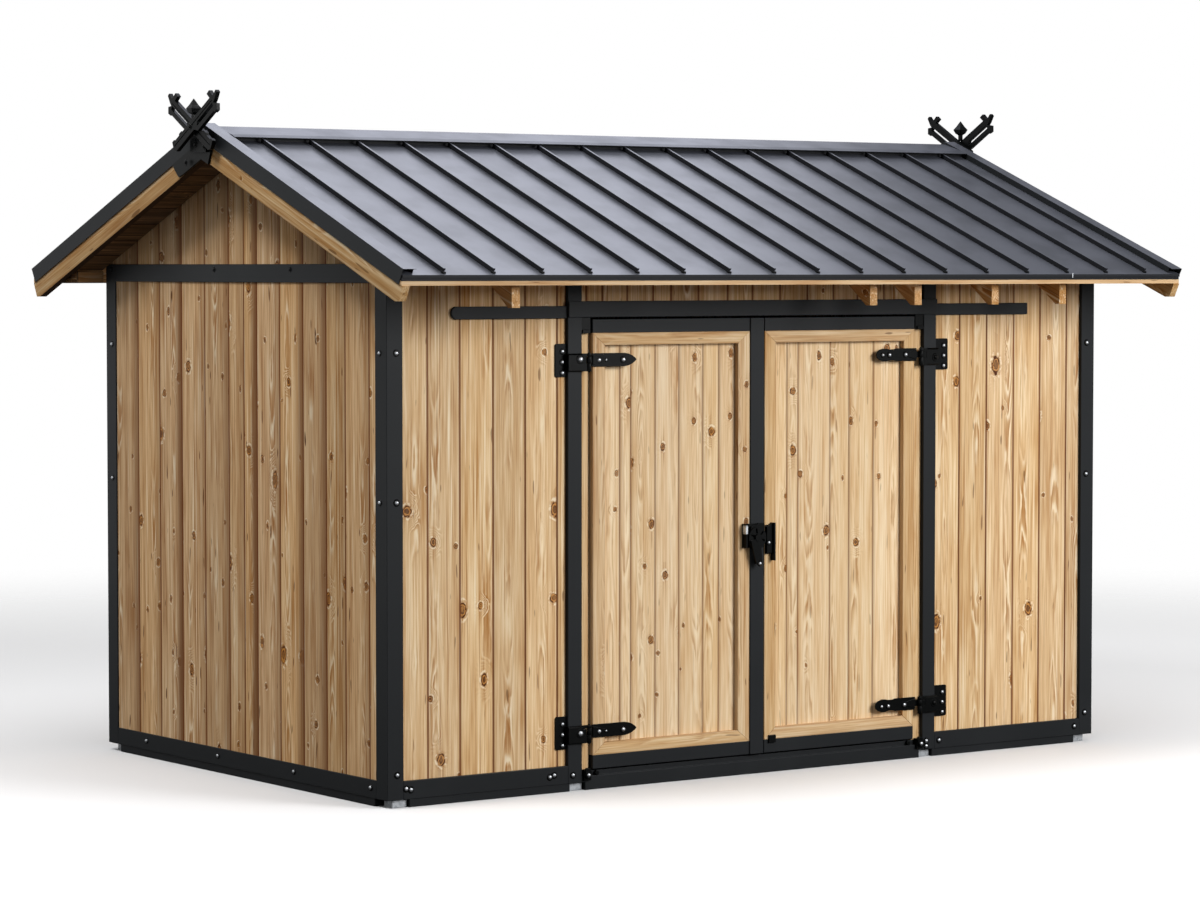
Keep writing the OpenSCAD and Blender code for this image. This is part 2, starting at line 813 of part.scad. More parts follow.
// Fixed half of a left hinge: wall plate of a given width, saddle over the post, knuckles and pin
module hinge_bracket(z, plate_w) {
    post_x0 = door_x0 - door_post_x;
    board_y = -hy + front_recess;
    arm_z0 = z - strap_h / 2 - saddle_drop;
    arm_z1 = z + strap_h / 2;
    knuckle_z0 = z - strap_h / 2 + fixed_knuckle_h - knuckle_gap;
    knuckle_z1 = z + strap_h / 2 - fixed_knuckle_h + knuckle_gap;
    union() {
        // Wall plate with clipped corners
        translate([post_x0, board_y, z]) rotate([90, 0, 0]) linear_extrude(hinge_t)
            polygon([[0, -plate_h / 2], [-plate_w + corner_cut, -plate_h / 2],
                [-plate_w, -plate_h / 2 + corner_cut], [-plate_w, plate_h / 2 - corner_cut],
                [-plate_w + corner_cut, plate_h / 2], [0, plate_h / 2]]);
        box([post_x0 - hinge_t, -hy, arm_z0], [post_x0, board_y - hinge_t / 2, arm_z1]);
        saddle(post_x0 - hinge_t, door_x0 - 4, arm_z0, arm_z1);
        for (span = [[arm_z0, knuckle_z0], [knuckle_z1, arm_z1]]) {
            box([door_x0 - 8, pin_y - 2, span[0]], [left_pin_x, -hy, span[1]]);
            translate([left_pin_x, pin_y, span[0]]) cylinder(h = span[1] - span[0], r = knuckle_r);
        }
        translate([left_pin_x, pin_y, arm_z0 - 4]) cylinder(h = arm_z1 - arm_z0 + 8, r = pin_r);
    }
}

module hinge_brackets() {
    color(STEEL) for (z = hinge_zs) {
        hinge_bracket(z, plate_w);
        mirror_door() hinge_bracket(z, plate_w_right);
    }
}

// Copies a left-hand fitting to the right side of the doorway
module mirror_door() {
    translate([2 * door_shift, 0, 0]) mirror([1, 0, 0]) children();
}

// Half outlines of the straps' tips: an ogive on the left leaf, a waisted spade on the right
h = strap_h / 2;
ogive = [[strap_l - 2.2 * h, h], [strap_l - 1.5 * h, 0.9 * h], [strap_l - 0.85 * h, 0.66 * h],
    [strap_l - 0.3 * h, 0.33 * h], [strap_l, 0.06 * h]];
spade = [[0.55 * strap_l, h], [0.6 * strap_l, 0.86 * h], [0.7 * strap_l, 0.86 * h],
    [0.78 * strap_l, h], [0.86 * strap_l, h], [strap_l - 0.55 * h, 0.78 * h],
    [strap_l - 0.1 * h, 0.42 * h], [strap_l, 0]];

// Moving half of a left hinge: knuckle, cranked gusset and strap on the leaf's face
module hinge_strap(z, tip) {
    z0 = z - h + fixed_knuckle_h;
    z1 = z + h - fixed_knuckle_h;
    root = pin_offset + knuckle_r - 16;
    under = [for (i = [len(tip) - 1 : -1 : 0]) [tip[i][0], -tip[i][1]]];
    difference() {
        union() {
            translate([left_pin_x, pin_y, z0]) cylinder(h = z1 - z0, r = knuckle_r);
            box([left_pin_x, face_y - hinge_t, z0], [left_pin_x + root + 4, face_y, z1]);
            translate([left_pin_x, face_y, z]) rotate([90, 0, 0]) linear_extrude(hinge_t)
                polygon(concat([[root, -h], [root, h]], tip, under));
            // Stiffening rib behind the first bolts
            translate([left_pin_x, face_y - hinge_t + 1, z]) rotate([90, 0, 0]) linear_extrude(rib_t + 1)
                polygon([[root + 2, -0.7 * h], [root + 2, 0.7 * h], [root + h, 0.55 * h],
                    [root + 2.3 * h, 0.2 * h], [root + 2.3 * h, -0.2 * h], [root + h, -0.55 * h]]);
        }
        translate([left_pin_x, pin_y, z0 - 1]) cylinder(h = z1 - z0 + 2, r = bore_r);
    }
}

rib_t = 4;

module left_leaf_straps() {
    color(STEEL) for (z = hinge_zs) hinge_strap(z, ogive);
}

module right_leaf_straps() {
    color(STEEL) mirror_door() for (z = hinge_zs) hinge_strap(z, spade);
}

pivot_h = 64;
pivot_lip = 14;
block_out = 10;
stop_r = 10;
stop_in = 76;

// Blocks over and under a jamb, with a round boss and a stop on the threshold's step
module left_pivot_blocks() {
    mid_x = door_x0 + jamb_w / 2;
    box([door_x0, -hy + 4, header_z - pivot_h], [door_x0 + jamb_w, -hy + sill_t, header_z]);
    box([door_x0 + 3, -hy - 2, header_z - pivot_h], [door_x0 + jamb_w - 8, -hy + 5,
        header_z - pivot_h + pivot_lip]);
    box([door_x0 + 4, -hy - block_out, step_h - 16], [door_x0 + jamb_w - 6, -hy + 2, floor_z + 8]);
    box([door_x0 + 4, -hy, step_h], [door_x0 + jamb_w - 6, -hy + lip_recess, floor_z + 8]);
    translate([mid_x, -hy, floor_z]) rotate([90, 0, 0]) cylinder(h = block_out + 6, r = jamb_w / 3);
    translate([door_x0 + stop_in, -hy + lip_recess, step_h + stop_r]) rotate([90, 0, 0])
        cylinder(h = lip_recess, r = stop_r);
}

module pivot_blocks() {
    color(STEEL) {
        left_pivot_blocks();
        mirror_door() left_pivot_blocks();
    }
}

// ---- Door leaves ----

left_x0 = door_x0 + jamb_w + side_gap;
left_x1 = meet_x - meet_gap / 2;
right_x0 = meet_x + meet_gap / 2;
right_x1 = door_x1 - jamb_w - side_gap;
strip_x0 = left_x1 - strip_w;

// Opening for the boards inside a leaf's timber frame
function leaf_hole(x0, x1) = [x0 + stile_w, x1 - stile_w, rail_z0 + rail_h, rail_z1 - rail_h];

// Steel ring of a leaf: full rails at top and bottom, and backing behind the stiles
module leaf_rails(x0, x1, hole) {
    box([x0, face_y, leaf_z0], [x1, face_y + leaf_t, rail_z0]);
    box([x0, face_y, rail_z1], [x1, face_y + leaf_t, leaf_z1]);
    box([x0, face_y + frame_t, rail_z0], [hole[0], face_y + leaf_t, rail_z1]);
    box([hole[1], face_y + frame_t, rail_z0], [x1, face_y + leaf_t, rail_z1]);
}

// Timber frame of a leaf
module leaf_frame(x0, x1, hole) {
    difference() {
        box([x0, face_y, rail_z0], [x1, face_y + frame_t, rail_z1]);
        box([hole[0], face_y - 1, hole[2]], [hole[1], face_y + frame_t + 1, hole[3]]);
    }
}

// Boards of a leaf, held in the frame's opening
module leaf_boards(hole) {
    box([hole[0], face_y + board_recess, hole[2]], [hole[1], face_y + leaf_t, hole[3]]);
}

left_hole = leaf_hole(left_x0, strip_x0);
right_hole = leaf_hole(right_x0, right_x1);

module left_leaf_rails() {
    color(STEEL) union() {
        leaf_rails(left_x0, left_x1, left_hole);
        box([strip_x0, face_y - strip_out, leaf_z0], [left_x1, face_y + leaf_t, leaf_z1]);
    }
}

module left_leaf_frame() {
    color(TIMBER) leaf_frame(left_x0, strip_x0, left_hole);
}

module left_leaf_boards() {
    color(TIMBER) leaf_boards(left_hole);
}

module right_leaf_rails() {
    color(STEEL) leaf_rails(right_x0, right_x1, right_hole);
}

module right_leaf_frame() {
    color(TIMBER) leaf_frame(right_x0, right_x1, right_hole);
}

module right_leaf_boards() {
    color(TIMBER) leaf_boards(right_hole);
}

// ---- Latch ----

latch_z = 985;
latch_w = 110;
latch_r = 45;
latch_t = 20;
latch_plate_t = 4;

// Latch on the meeting strip: base plate with an upright flange, ratchet drum, hub and hanging lever
module door_latch() {
    x1 = left_x1;
    x0 = x1 - latch_w;
    y = face_y - strip_out;
    low_z = latch_z - 0.93 * latch_r;
    top_z = latch_z + 1.3 * latch_r;
    drum_x = x1 - 1.12 * latch_r;
    front_y = y - latch_plate_t - latch_t;
    module plate(points, y0, depth) {
        translate([drum_x, y0, latch_z]) rotate([90, 0, 0]) linear_extrude(depth) polygon(points);
    }
    r = latch_r;
    color(STEEL) union() {
        box([x0, y - latch_plate_t, low_z], [x1, y, top_z]);
        box([x0, y - 1.2 * latch_t, low_z], [x0 + 0.35 * latch_t, face_y, top_z]);
        difference() {
            translate([drum_x, y - latch_plate_t + 1, latch_z]) rotate([90, 0, 0])
                cylinder(h = latch_t + 1, r = r);
            // Clearance towards the other leaf, and spokes sunk in the drum's face
            box([x1, front_y - 1, low_z - r], [x1 + r, y + 1, top_z + r]);
            for (a = [20 : 60 : 320]) translate([drum_x, front_y, latch_z]) rotate([90, a, 0])
                translate([0.38 * r, -0.09 * r, -0.35 * latch_t]) cube([0.48 * r, 0.18 * r, latch_t]);
        }
        // Ear at the top, lever hanging from the hub
        plate([[-0.9 * r, 0], [-0.55 * r, 1.05 * r], [0, 1.15 * r], [0.3 * r, 1.3 * r], [0.85 * r, 0.9 * r],
            [0.7 * r, 0]], y - latch_plate_t + 1, 0.55 * latch_t);
        translate([drum_x, front_y + 1, latch_z]) rotate([90, 0, 0])
            cylinder(h = 0.4 * latch_t + 1, r = 0.36 * r);
        plate([[-0.85 * r, -0.25 * r], [-0.2 * r, -0.1 * r], [0.25 * r, -0.35 * r], [0.4 * r, -1.7 * r],
            [0.45 * r, -2.3 * r], [0.15 * r, -2.62 * r], [-0.2 * r, -2.4 * r], [-0.5 * r, -1.5 * r]],
            front_y + 1, 0.3 * latch_t + 1);
        // Stem that carries the lever's foot on the strip
        plate([[-0.15 * r, -2.4 * r], [0.3 * r, -2.4 * r], [0.3 * r, -1.9 * r], [-0.15 * r, -1.9 * r]],
            y - latch_plate_t - 6, latch_t - 5);
    }
}

// Keeper on the right leaf: face plate, stepped block and a tall outer flange
module latch_keeper() {
    x0 = right_x0 + 2;
    w = 0.85 * latch_r;
    flange = 0.2 * latch_r;
    z0 = latch_z - 1.6 * latch_r;
    z1 = latch_z + 1.3 * latch_r;
    color(STEEL) union() {
        box([x0, face_y - latch_plate_t, z0], [x0 + w, face_y, latch_z + 1.1 * latch_r]);
        translate([x0, face_y, 0]) rotate([90, 0, 0]) linear_extrude(0.8 * latch_t) polygon([
            [0, z0 + 4], [w, z0 + 4], [w, z1], [0.75 * w, z1], [0.3 * w, z1 - 0.3 * latch_r],
            [0, z1 - 0.36 * latch_r]]);
        box([x0 + w - flange, face_y - 1.25 * latch_t, z0 - 0.6 * latch_r],
            [x0 + w, face_y, z1]);
    }
}

feet();
base_frame();
floor_deck();
front_sills();
side_sills();
back_sills();
door_threshold();
corner_posts();
door_posts();
back_posts();
tie_beams();
door_header();
header_bars();
door_jambs();
front_wall_left();
front_wall_right();
front_wall_over_door();
left_gable_wall();
right_gable_wall();
back_wall();
wall_plates();
ridge_beam();
rafters();
roof_boards_front();
roof_boards_back();
roof_battens();
roof_sheet_front();
roof_sheet_back();
ridge_cap();
eave_trims();
verge_trims();
barge_boards();
apex_plates();
finial_arms();
finial_spikes();
hinge_brackets();
pivot_blocks();
left_leaf_rails();
left_leaf_frame();
left_leaf_boards();
left_leaf_straps();
door_latch();
right_leaf_rails();
right_leaf_frame();
right_leaf_boards();
right_leaf_straps();
latch_keeper();
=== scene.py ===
"""Garden shed of pine boards on a black steel frame: its boards, fixings, finishes and studio."""
import logging
import math
import random
from collections.abc import Callable, Iterable, Sequence
from dataclasses import dataclass
from enum import Enum

import bmesh
import bpy
from mathutils import Matrix, Vector


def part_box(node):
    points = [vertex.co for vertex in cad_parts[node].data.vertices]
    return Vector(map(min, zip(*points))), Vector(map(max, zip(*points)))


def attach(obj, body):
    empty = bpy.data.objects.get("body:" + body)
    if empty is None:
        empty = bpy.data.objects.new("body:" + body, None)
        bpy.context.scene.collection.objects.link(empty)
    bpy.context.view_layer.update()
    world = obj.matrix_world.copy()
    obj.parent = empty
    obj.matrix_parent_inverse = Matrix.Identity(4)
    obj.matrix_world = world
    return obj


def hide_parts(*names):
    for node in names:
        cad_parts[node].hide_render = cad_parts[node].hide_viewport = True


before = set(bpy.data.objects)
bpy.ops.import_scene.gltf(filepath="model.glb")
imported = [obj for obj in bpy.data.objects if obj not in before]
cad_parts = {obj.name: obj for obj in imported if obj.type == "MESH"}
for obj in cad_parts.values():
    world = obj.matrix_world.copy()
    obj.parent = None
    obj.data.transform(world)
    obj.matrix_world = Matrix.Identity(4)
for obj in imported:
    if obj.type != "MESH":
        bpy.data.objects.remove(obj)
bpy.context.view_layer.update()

LOG = logging.getLogger("shed")
MM = 0.001
GRAIN = "grain"
BOARD = "board"
FRONT, BACK = Vector((0, -1, 0)), Vector((0, 1, 0))
LEFT, RIGHT = Vector((-1, 0, 0)), Vector((1, 0, 0))
UP = Vector((0, 0, 1))

Triple = tuple[float, float, float]
Colour = tuple[float, float, float, float]
Plane = tuple[Vector, Vector]
Feed = bpy.types.Node | bpy.types.NodeSocket | float | Colour


# ---------------------------------------------------------------- shader helpers


def linear(hex_colour: str) -> Colour:
    """Turns an sRGB hex colour into linear light.

    Args:
        hex_colour: six hex digits, with or without a leading hash.

    Returns:
        Red, green, blue and an alpha of 1.
    """
    digits = hex_colour.lstrip("#")
    channels = [int(digits[i:i + 2], 16) / 255 for i in (0, 2, 4)]
    low = [c / 12.92 if c <= 0.04045 else ((c + 0.055) / 1.055) ** 2.4 for c in channels]
    return (low[0], low[1], low[2], 1.0)


class Op(Enum):
    """What a shader node does: its type, and the settings that it always has."""

    ADD = ("Math", {"operation": "ADD"})
    SUBTRACT = ("Math", {"operation": "SUBTRACT"})
    MULTIPLY = ("Math", {"operation": "MULTIPLY"})
    DIVIDE = ("Math", {"operation": "DIVIDE"})
    MULTIPLY_ADD = ("Math", {"operation": "MULTIPLY_ADD"})
    POWER = ("Math", {"operation": "POWER"})
    ROOT = ("Math", {"operation": "SQRT"})
    ABSOLUTE = ("Math", {"operation": "ABSOLUTE"})
    FRACTION = ("Math", {"operation": "FRACT"})
    LESSER = ("Math", {"operation": "MINIMUM"})
    GREATER = ("Math", {"operation": "MAXIMUM"})
    STEP = ("MapRange", {"interpolation_type": "SMOOTHSTEP"})
    LENGTH = ("VectorMath", {"operation": "LENGTH"})
    MIX = ("Mix", {"data_type": "RGBA"})
    RAMP = ("ValToRGB", {})
    TINT = ("HueSaturation", {})
    NOISE = ("TexNoise", {})
    CELLS = ("TexVoronoi", {})
    STRETCH = ("Mapping", {})
    SPLIT = ("SeparateXYZ", {})
    SPLIT_COLOUR = ("SeparateColor", {})
    JOIN = ("CombineXYZ", {})
    ATTRIBUTE = ("Attribute", {})
    COORDINATES = ("TexCoord", {})
    GEOMETRY = ("NewGeometry", {})
    LIGHT_PATH = ("LightPath", {})
    BUMP = ("Bump", {})
    SURFACE = ("BsdfPrincipled", {})
    BACKGROUND = ("Background", {})
    MATERIAL_OUTPUT = ("OutputMaterial", {})
    WORLD_OUTPUT = ("OutputWorld", {})


class Wiring:
    """A node tree while it is being wired."""

    def __init__(self, tree: bpy.types.NodeTree) -> None:
        """Takes a tree and empties it.

        Args:
            tree: the node tree.
        """
        self.tree = tree
        self.tree.nodes.clear()

    def add(self, op: Op, *feeds: Feed, **named: object) -> bpy.types.Node:
        """Adds one node with its settings and links.

        Args:
            op: what the node does.
            feeds: what goes into the inputs that are in use, in their order. A node gives its
                first output that is in use.
            named: the same by an input's name, with underscores for spaces, and further settings,
                whose names are in lower case.

        Returns:
            The new node.
        """
        kind, settings = op.value
        node = self.tree.nodes.new("ShaderNode" + kind)
        for key, value in (settings | named).items():
            if key.islower():
                setattr(node, key, value)
        pairs = [(node.inputs[key.replace("_", " ")], feed) for key, feed in named.items()
                 if not key.islower()]
        pairs += zip([socket for socket in node.inputs if socket.enabled], feeds)
        for socket, feed in pairs:
            if isinstance(feed, bpy.types.Node):
                feed = next(output for output in feed.outputs if output.enabled)
            if isinstance(feed, bpy.types.NodeSocket):
                self.tree.links.new(feed, socket)
            else:
                socket.default_value = feed
        return node


class Shader(Wiring):
    """A material built on one Principled shader."""

    def __init__(self, name: str) -> None:
        """Starts the material.

        Args:
            name: the finish's name.
        """
        self.material = bpy.data.materials.new(name)
        self.material.use_nodes = True
        super().__init__(self.material.node_tree)

    def close(self, **surface: object) -> bpy.types.Material:
        """Closes the material with its surface.

        Args:
            surface: the Principled shader's own sockets, with underscores for spaces.

        Returns:
            The material.
        """
        self.add(Op.MATERIAL_OUTPUT, self.add(Op.SURFACE, **surface))
        return self.material


class WoodShader(Shader):
    """A shader that knows where each point lies in its board.

    The place across, into and along the board is in metres. The tone is the board's own number
    from 0 to 1, the span is the place across from 0 to 1, and wide is the board's width.
    """

    def __init__(self, name: str) -> None:
        """Starts the material.

        Args:
            name: the finish's name.
        """
        super().__init__(name)
        self.grain = self.add(Op.ATTRIBUTE, attribute_name=GRAIN).outputs["Vector"]
        self.across, self.deep, self.along = self.add(Op.SPLIT, self.grain).outputs
        board = self.add(Op.ATTRIBUTE, attribute_name=BOARD).outputs["Vector"]
        self.tone, self.span, self.wide = self.add(Op.SPLIT, board).outputs

    def fibres(self, across: float, along: float, detail: float, rough: float = 0.62) -> bpy.types.Node:
        """Noise that is drawn out along the grain.

        Args:
            across: its repeats in a metre across the board.
            along: its repeats in a metre along the board.
            detail: its detail.
            rough: its roughness.

        Returns:
            The noise's node.
        """
        drawn = self.add(Op.STRETCH, Vector=self.grain, Scale=(across, across, along))
        return self.add(Op.NOISE, Vector=drawn, Scale=1.0, Detail=detail, Roughness=rough)

    def chance(self, source: Feed, salt: float, size: float, low: float) -> bpy.types.Node:
        """A number that differs from board to board, or from knot to knot.

        Args:
            source: a random number from 0 to 1.
            salt: a factor that makes this number differ from the others made of the same source.
            size: how far the number reaches above its lowest.
            low: its lowest.

        Returns:
            The number's node.
        """
        mixed = self.add(Op.FRACTION, self.add(Op.MULTIPLY, source, salt))
        return self.add(Op.MULTIPLY_ADD, mixed, size, low)

    def over(self, colour: Feed, share: Feed, mask: Feed, paint: str) -> bpy.types.Node:
        """Lays a colour over another where a mask shows.

        Args:
            colour: the colour below.
            share: how much of the new colour shows at most.
            mask: where it shows.
            paint: the new colour in hex.

        Returns:
            The mixed colour's node.
        """
        return self.add(Op.MIX, self.add(Op.MULTIPLY, mask, share), colour, linear(paint))

    def far(self, first: Feed, second: Feed) -> bpy.types.Node:
        """The distance that two lengths at right angles make."""
        squares = [self.add(Op.POWER, each, 2.0) for each in (first, second)]
        return self.add(Op.ROOT, self.add(Op.ADD, *squares))


@dataclass(frozen=True)
class Rings:
    """Masks of a board's growth rings.

    Attributes:
        late: the dark latewood lines.
        early: the pale earlywood that follows each line.
        side: distance from the pith across the board.
    """

    late: bpy.types.Node
    early: bpy.types.Node
    side: bpy.types.Node


@dataclass(frozen=True)
class Knots:
    """Masks of a board's knots.

    Attributes:
        away: distance from the knot's heart in its radii.
        radius: the knot's radius.
        dark: how dark its pith is.
        core: the heart.
        rim: the bark ring round the heart.
        halo: the stained wood round the knot.
        swell: how far the rings bend round it.
        tail: the streaks that run on from it along the board.
        swirl: the pale grain that curls round it.
    """

    away: bpy.types.Node
    radius: bpy.types.Node
    dark: bpy.types.Node
    core: bpy.types.Node
    rim: bpy.types.Node
    halo: bpy.types.Node
    swell: bpy.types.Node
    tail: bpy.types.Node
    swirl: bpy.types.Node


@dataclass(frozen=True)
class PlanedPine:
    """Planed softwood: streaked sapwood, arched rings round a wandering pith, and knots.

    It looks warm, pale and nearly matt, and no two boards are alike. The rings of a real board are 2 to
    5 mm apart. They are drawn 8 mm apart, as coarse as they need to be to show on a whole shed. Streaks
    are given by their repeats in a metre across and along the board and by their detail.

    Attributes:
        name: the material's name.
        pale, middle, brown: the sapwood's colours.
        late, cream: the latewood and the palest wood.
        pocket, stain, shade: the resin pockets, the wood round a knot and the painted shade along one side of a
            board.
        knot_core, knot_rim: the knots' colours.
        joint: the dirt in the joints.
        broad, fine, cloud, line, dash: streaks 38, 7 and 125 mm wide, lines of 10 and dashes of 22 mm.
        ring_pitch: distance between two rings.
        pith_depth: how deep the pith lies below the board's face.
        pith_wander: how much it rises and falls along the board.
        pith_aside: how far its place across differs from board to board.
        waver: how much the rings waver.
        flat_band: distance from the pith where the flame of flat rings ends, and where it is full.
        knot_cell: width and length of the piece of board that may hold one knot.
        knot_radius: the smallest and the largest knot.
        knot_share: share of the cells that hold one.
        roughness, gloss: the surface's own.
        relief: height of the grain that stands proud of the surface.
        cup: how much higher a board's middle stands than its sides, in that height.
        lines, dashes, flame: how much of the resin lines, pockets and latewood shows.
        joint_band: where the dirt beside a joint starts and where it is full.
        joint_shade: how much of it shows.
        shade_width, soft_shade: width and strength of the painted shade along one side of a board.
        spread: how much the boards differ in brightness.
        contrast: how much the streaks differ.
        value, saturation: the whole wood's brightness and saturation.
    """

    name: str = "planed_pine"
    pale: str = "#e8d0ab"
    middle: str = "#d4b388"
    brown: str = "#b78d5f"
    late: str = "#9c6a3a"
    cream: str = "#f3e4c6"
    pocket: str = "#54300f"
    stain: str = "#a8702f"
    shade: str = "#7d5330"
    knot_core: str = "#bc844a"
    knot_rim: str = "#48210a"
    joint: str = "#6b3610"
    broad: Triple = (26.0, 1.3, 3.0)
    fine: Triple = (150.0, 3.0, 4.0)
    cloud: Triple = (8.0, 2.2, 2.0)
    line: Triple = (95.0, 1.3, 1.0)
    dash: Triple = (46.0, 6.5, 1.0)
    ring_pitch: float = 8.0 * MM
    pith_depth: float = 30.0 * MM
    pith_wander: float = 90.0 * MM
    pith_aside: float = 100.0 * MM
    waver: float = 30.0 * MM
    flat_band: tuple[float, float] = (36.0 * MM, 10.0 * MM)
    knot_cell: tuple[float, float] = (0.145, 0.30)
    knot_radius: tuple[float, float] = (6.0 * MM, 21.0 * MM)
    knot_share: float = 0.5
    roughness: float = 0.66
    gloss: float = 0.14
    relief: float = 0.5 * MM
    cup: float = 6.0
    lines: float = 0.5
    dashes: float = 0.6
    flame: float = 0.7
    joint_band: tuple[float, float] = (6.2 * MM, 3.0 * MM)
    joint_shade: float = 0.85
    shade_width: float = 20.0 * MM
    soft_shade: float = 0.22
    spread: float = 0.13
    contrast: float = 1.0
    value: float = 1.03
    saturation: float = 1.03

    def build(self) -> bpy.types.Material:
        """Wires the finish.

        Returns:
            The material.
        """
        s = WoodShader(self.name)
        knots = self.knots(s)
        rings = self.rings(s, knots)
        broad, fine, cloud = (s.fibres(*each) for each in (self.broad, self.fine, self.cloud))
        colour = self.sapwood(s, broad, fine, cloud)
        colour = self.latewood(s, colour, rings, knots, fine, cloud)
        colour = self.knotted(s, colour, knots, fine)
        colour = self.shaded(s, colour, broad)
        fall = s.add(Op.POWER, s.add(Op.SUBTRACT, s.add(Op.MULTIPLY, s.span, 2.0), 1.0), 2.0)
        height = s.add(Op.ADD, s.add(Op.MULTIPLY, rings.late, 0.5), fine)
        height = s.add(Op.SUBTRACT, s.add(Op.MULTIPLY_ADD, fall, -self.cup, height), knots.core)
        return s.close(Base_Color=colour, Roughness=s.add(Op.MULTIPLY_ADD, rings.late, -0.1, self.roughness),
                        Specular_IOR_Level=self.gloss,
                        Normal=s.add(Op.BUMP, Height=height, Distance=self.relief, Strength=0.55))

    def sapwood(self, s: WoodShader, broad: bpy.types.Node, fine: bpy.types.Node,
                cloud: bpy.types.Node) -> bpy.types.Node:
        """Streaks along the fibres, with long resin lines on some boards more than on others.

        Args:
            s: the shader.
            broad: the broad streaks.
            fine: the fine streaks.
            cloud: the slow change along the board.

        Returns:
            The colour's node.
        """
        level = s.add(Op.MULTIPLY_ADD, broad, 0.75 * self.contrast, 0.5 - 0.775 * self.contrast)
        level = s.add(Op.MULTIPLY_ADD, fine, 0.8 * self.contrast, level)
        level = s.add(Op.MULTIPLY_ADD, s.add(Op.STEP, cloud, 0.5, 0.75), 0.12, level)
        colour = s.add(Op.RAMP, level)
        stops = colour.color_ramp.elements
        stops.new(0.5)
        for stop, place, paint in zip(stops, (0.30, 0.50, 0.72), (self.pale, self.middle, self.brown)):
            stop.position = place
            stop.color = linear(paint)
        line = s.fibres(*self.line)
        share = s.chance(s.tone, 31.3, self.lines, 0.4 * self.lines)
        colour = s.over(colour, share, s.add(Op.STEP, line, 0.58, 0.68), self.late)
        return s.over(colour, share, s.add(Op.STEP, line, 0.40, 0.30), self.cream)

    def latewood(self, s: WoodShader, colour: bpy.types.Node, rings: Rings, knots: Knots,
                 fine: bpy.types.Node, cloud: bpy.types.Node) -> bpy.types.Node:
        """Rings, which show most where they lie flat, in a narrow flame, and short resin pockets.

        Args:
            s: the shader.
            colour: the sapwood's colour.
            rings: the rings' masks.
            knots: the knots' masks.
            fine: the fine streaks.
            cloud: the slow change along the board.

        Returns:
            The colour's node.
        """
        flame = s.add(Op.MULTIPLY, s.add(Op.STEP, rings.side, *self.flat_band),
                      s.add(Op.STEP, cloud, 0.42, 0.62))
        colour = s.over(colour, s.add(Op.MULTIPLY, flame, self.flame), rings.early, self.cream)
        shows = s.add(Op.MULTIPLY_ADD, knots.halo, 0.65, s.add(Op.MULTIPLY_ADD, flame, self.flame, 0.1))
        broken = s.add(Op.MULTIPLY_ADD, s.add(Op.STEP, fine, 0.36, 0.6), 0.9, 0.3)
        colour = s.over(colour, broken, s.add(Op.MULTIPLY, rings.late, shows), self.late)
        if self.dashes:
            dash = s.add(Op.STEP, s.fibres(*self.dash), 0.70, 0.74)
            colour = s.over(colour, self.dashes, dash, self.pocket)
        return colour

    def knotted(self, s: WoodShader, colour: bpy.types.Node, knots: Knots,
                fine: bpy.types.Node) -> bpy.types.Node:
        """Streaked tails, stained wood, cream swirl, ringed heart and a dark rim, broken here and there.

        Args:
            s: the shader.
            colour: the clear wood's colour.
            knots: the knots' masks.
            fine: the fine streaks.

        Returns:
            The colour's node.
        """
        tail = s.add(Op.MULTIPLY, knots.tail, s.add(Op.STEP, fine, 0.44, 0.6))
        colour = s.over(colour, 0.5, tail, self.late)
        colour = s.over(colour, 0.3, knots.halo, self.stain)
        patchy = s.add(Op.NOISE, Vector=s.grain, Scale=55.0, Detail=2.0)
        colour = s.over(colour, s.add(Op.STEP, patchy, 0.56, 0.44), knots.swirl, self.cream)
        turn = s.add(Op.FRACTION, s.add(Op.MULTIPLY, knots.away, 1.7))
        ringed = s.add(Op.STEP, s.add(Op.MULTIPLY_ADD, patchy, 1.6, turn), 1.2, 1.6)
        heart = s.add(Op.MIX, ringed, linear(self.knot_core), linear(self.knot_rim))
        heart = s.over(heart, knots.dark, s.add(Op.STEP, knots.away, 0.68, 0.42), self.knot_rim)
        colour = s.add(Op.MIX, s.add(Op.MULTIPLY, knots.core, 0.85), colour, heart)
        bark = s.add(Op.MULTIPLY_ADD, s.add(Op.STEP, patchy, 0.38, 0.5), 0.92, 0.06)
        return s.over(colour, bark, knots.rim, self.knot_rim)

    def shaded(self, s: WoodShader, colour: bpy.types.Node, broad: bpy.types.Node) -> bpy.types.Node:
        """Board to board tone, painted shade along one side of each board, and the dirt that gathers beside the
        joints.

        Args:
            s: the shader.
            colour: the wood's colour.
            broad: the broad streaks.

        Returns:
            The colour's node.
        """
        bright = s.chance(s.tone, 91.7, self.spread * self.value, (1.0 - self.spread * 0.55) * self.value)
        tint = s.chance(s.tone, 53.1, 0.1, self.saturation - 0.05)
        colour = s.add(Op.TINT, Saturation=tint, Value=bright, Color=colour)
        # Painted shade: a soft darker band along one side of each board, of random strength
        edge = s.add(Op.MULTIPLY_ADD, s.add(Op.SUBTRACT, broad, 0.5), 0.9 * self.shade_width,
                     s.add(Op.MULTIPLY, s.span, s.wide))
        soft = s.add(Op.MULTIPLY, s.add(Op.STEP, edge, self.shade_width, 2.0 * MM), self.soft_shade)
        colour = s.over(colour, s.chance(s.tone, 17.3, 0.9, 0.25), soft, self.shade)
        near = s.add(Op.MULTIPLY, s.add(Op.LESSER, s.span, s.add(Op.SUBTRACT, 1.0, s.span)), s.wide)
        return s.over(colour, self.joint_shade, s.add(Op.STEP, near, *self.joint_band), self.joint)

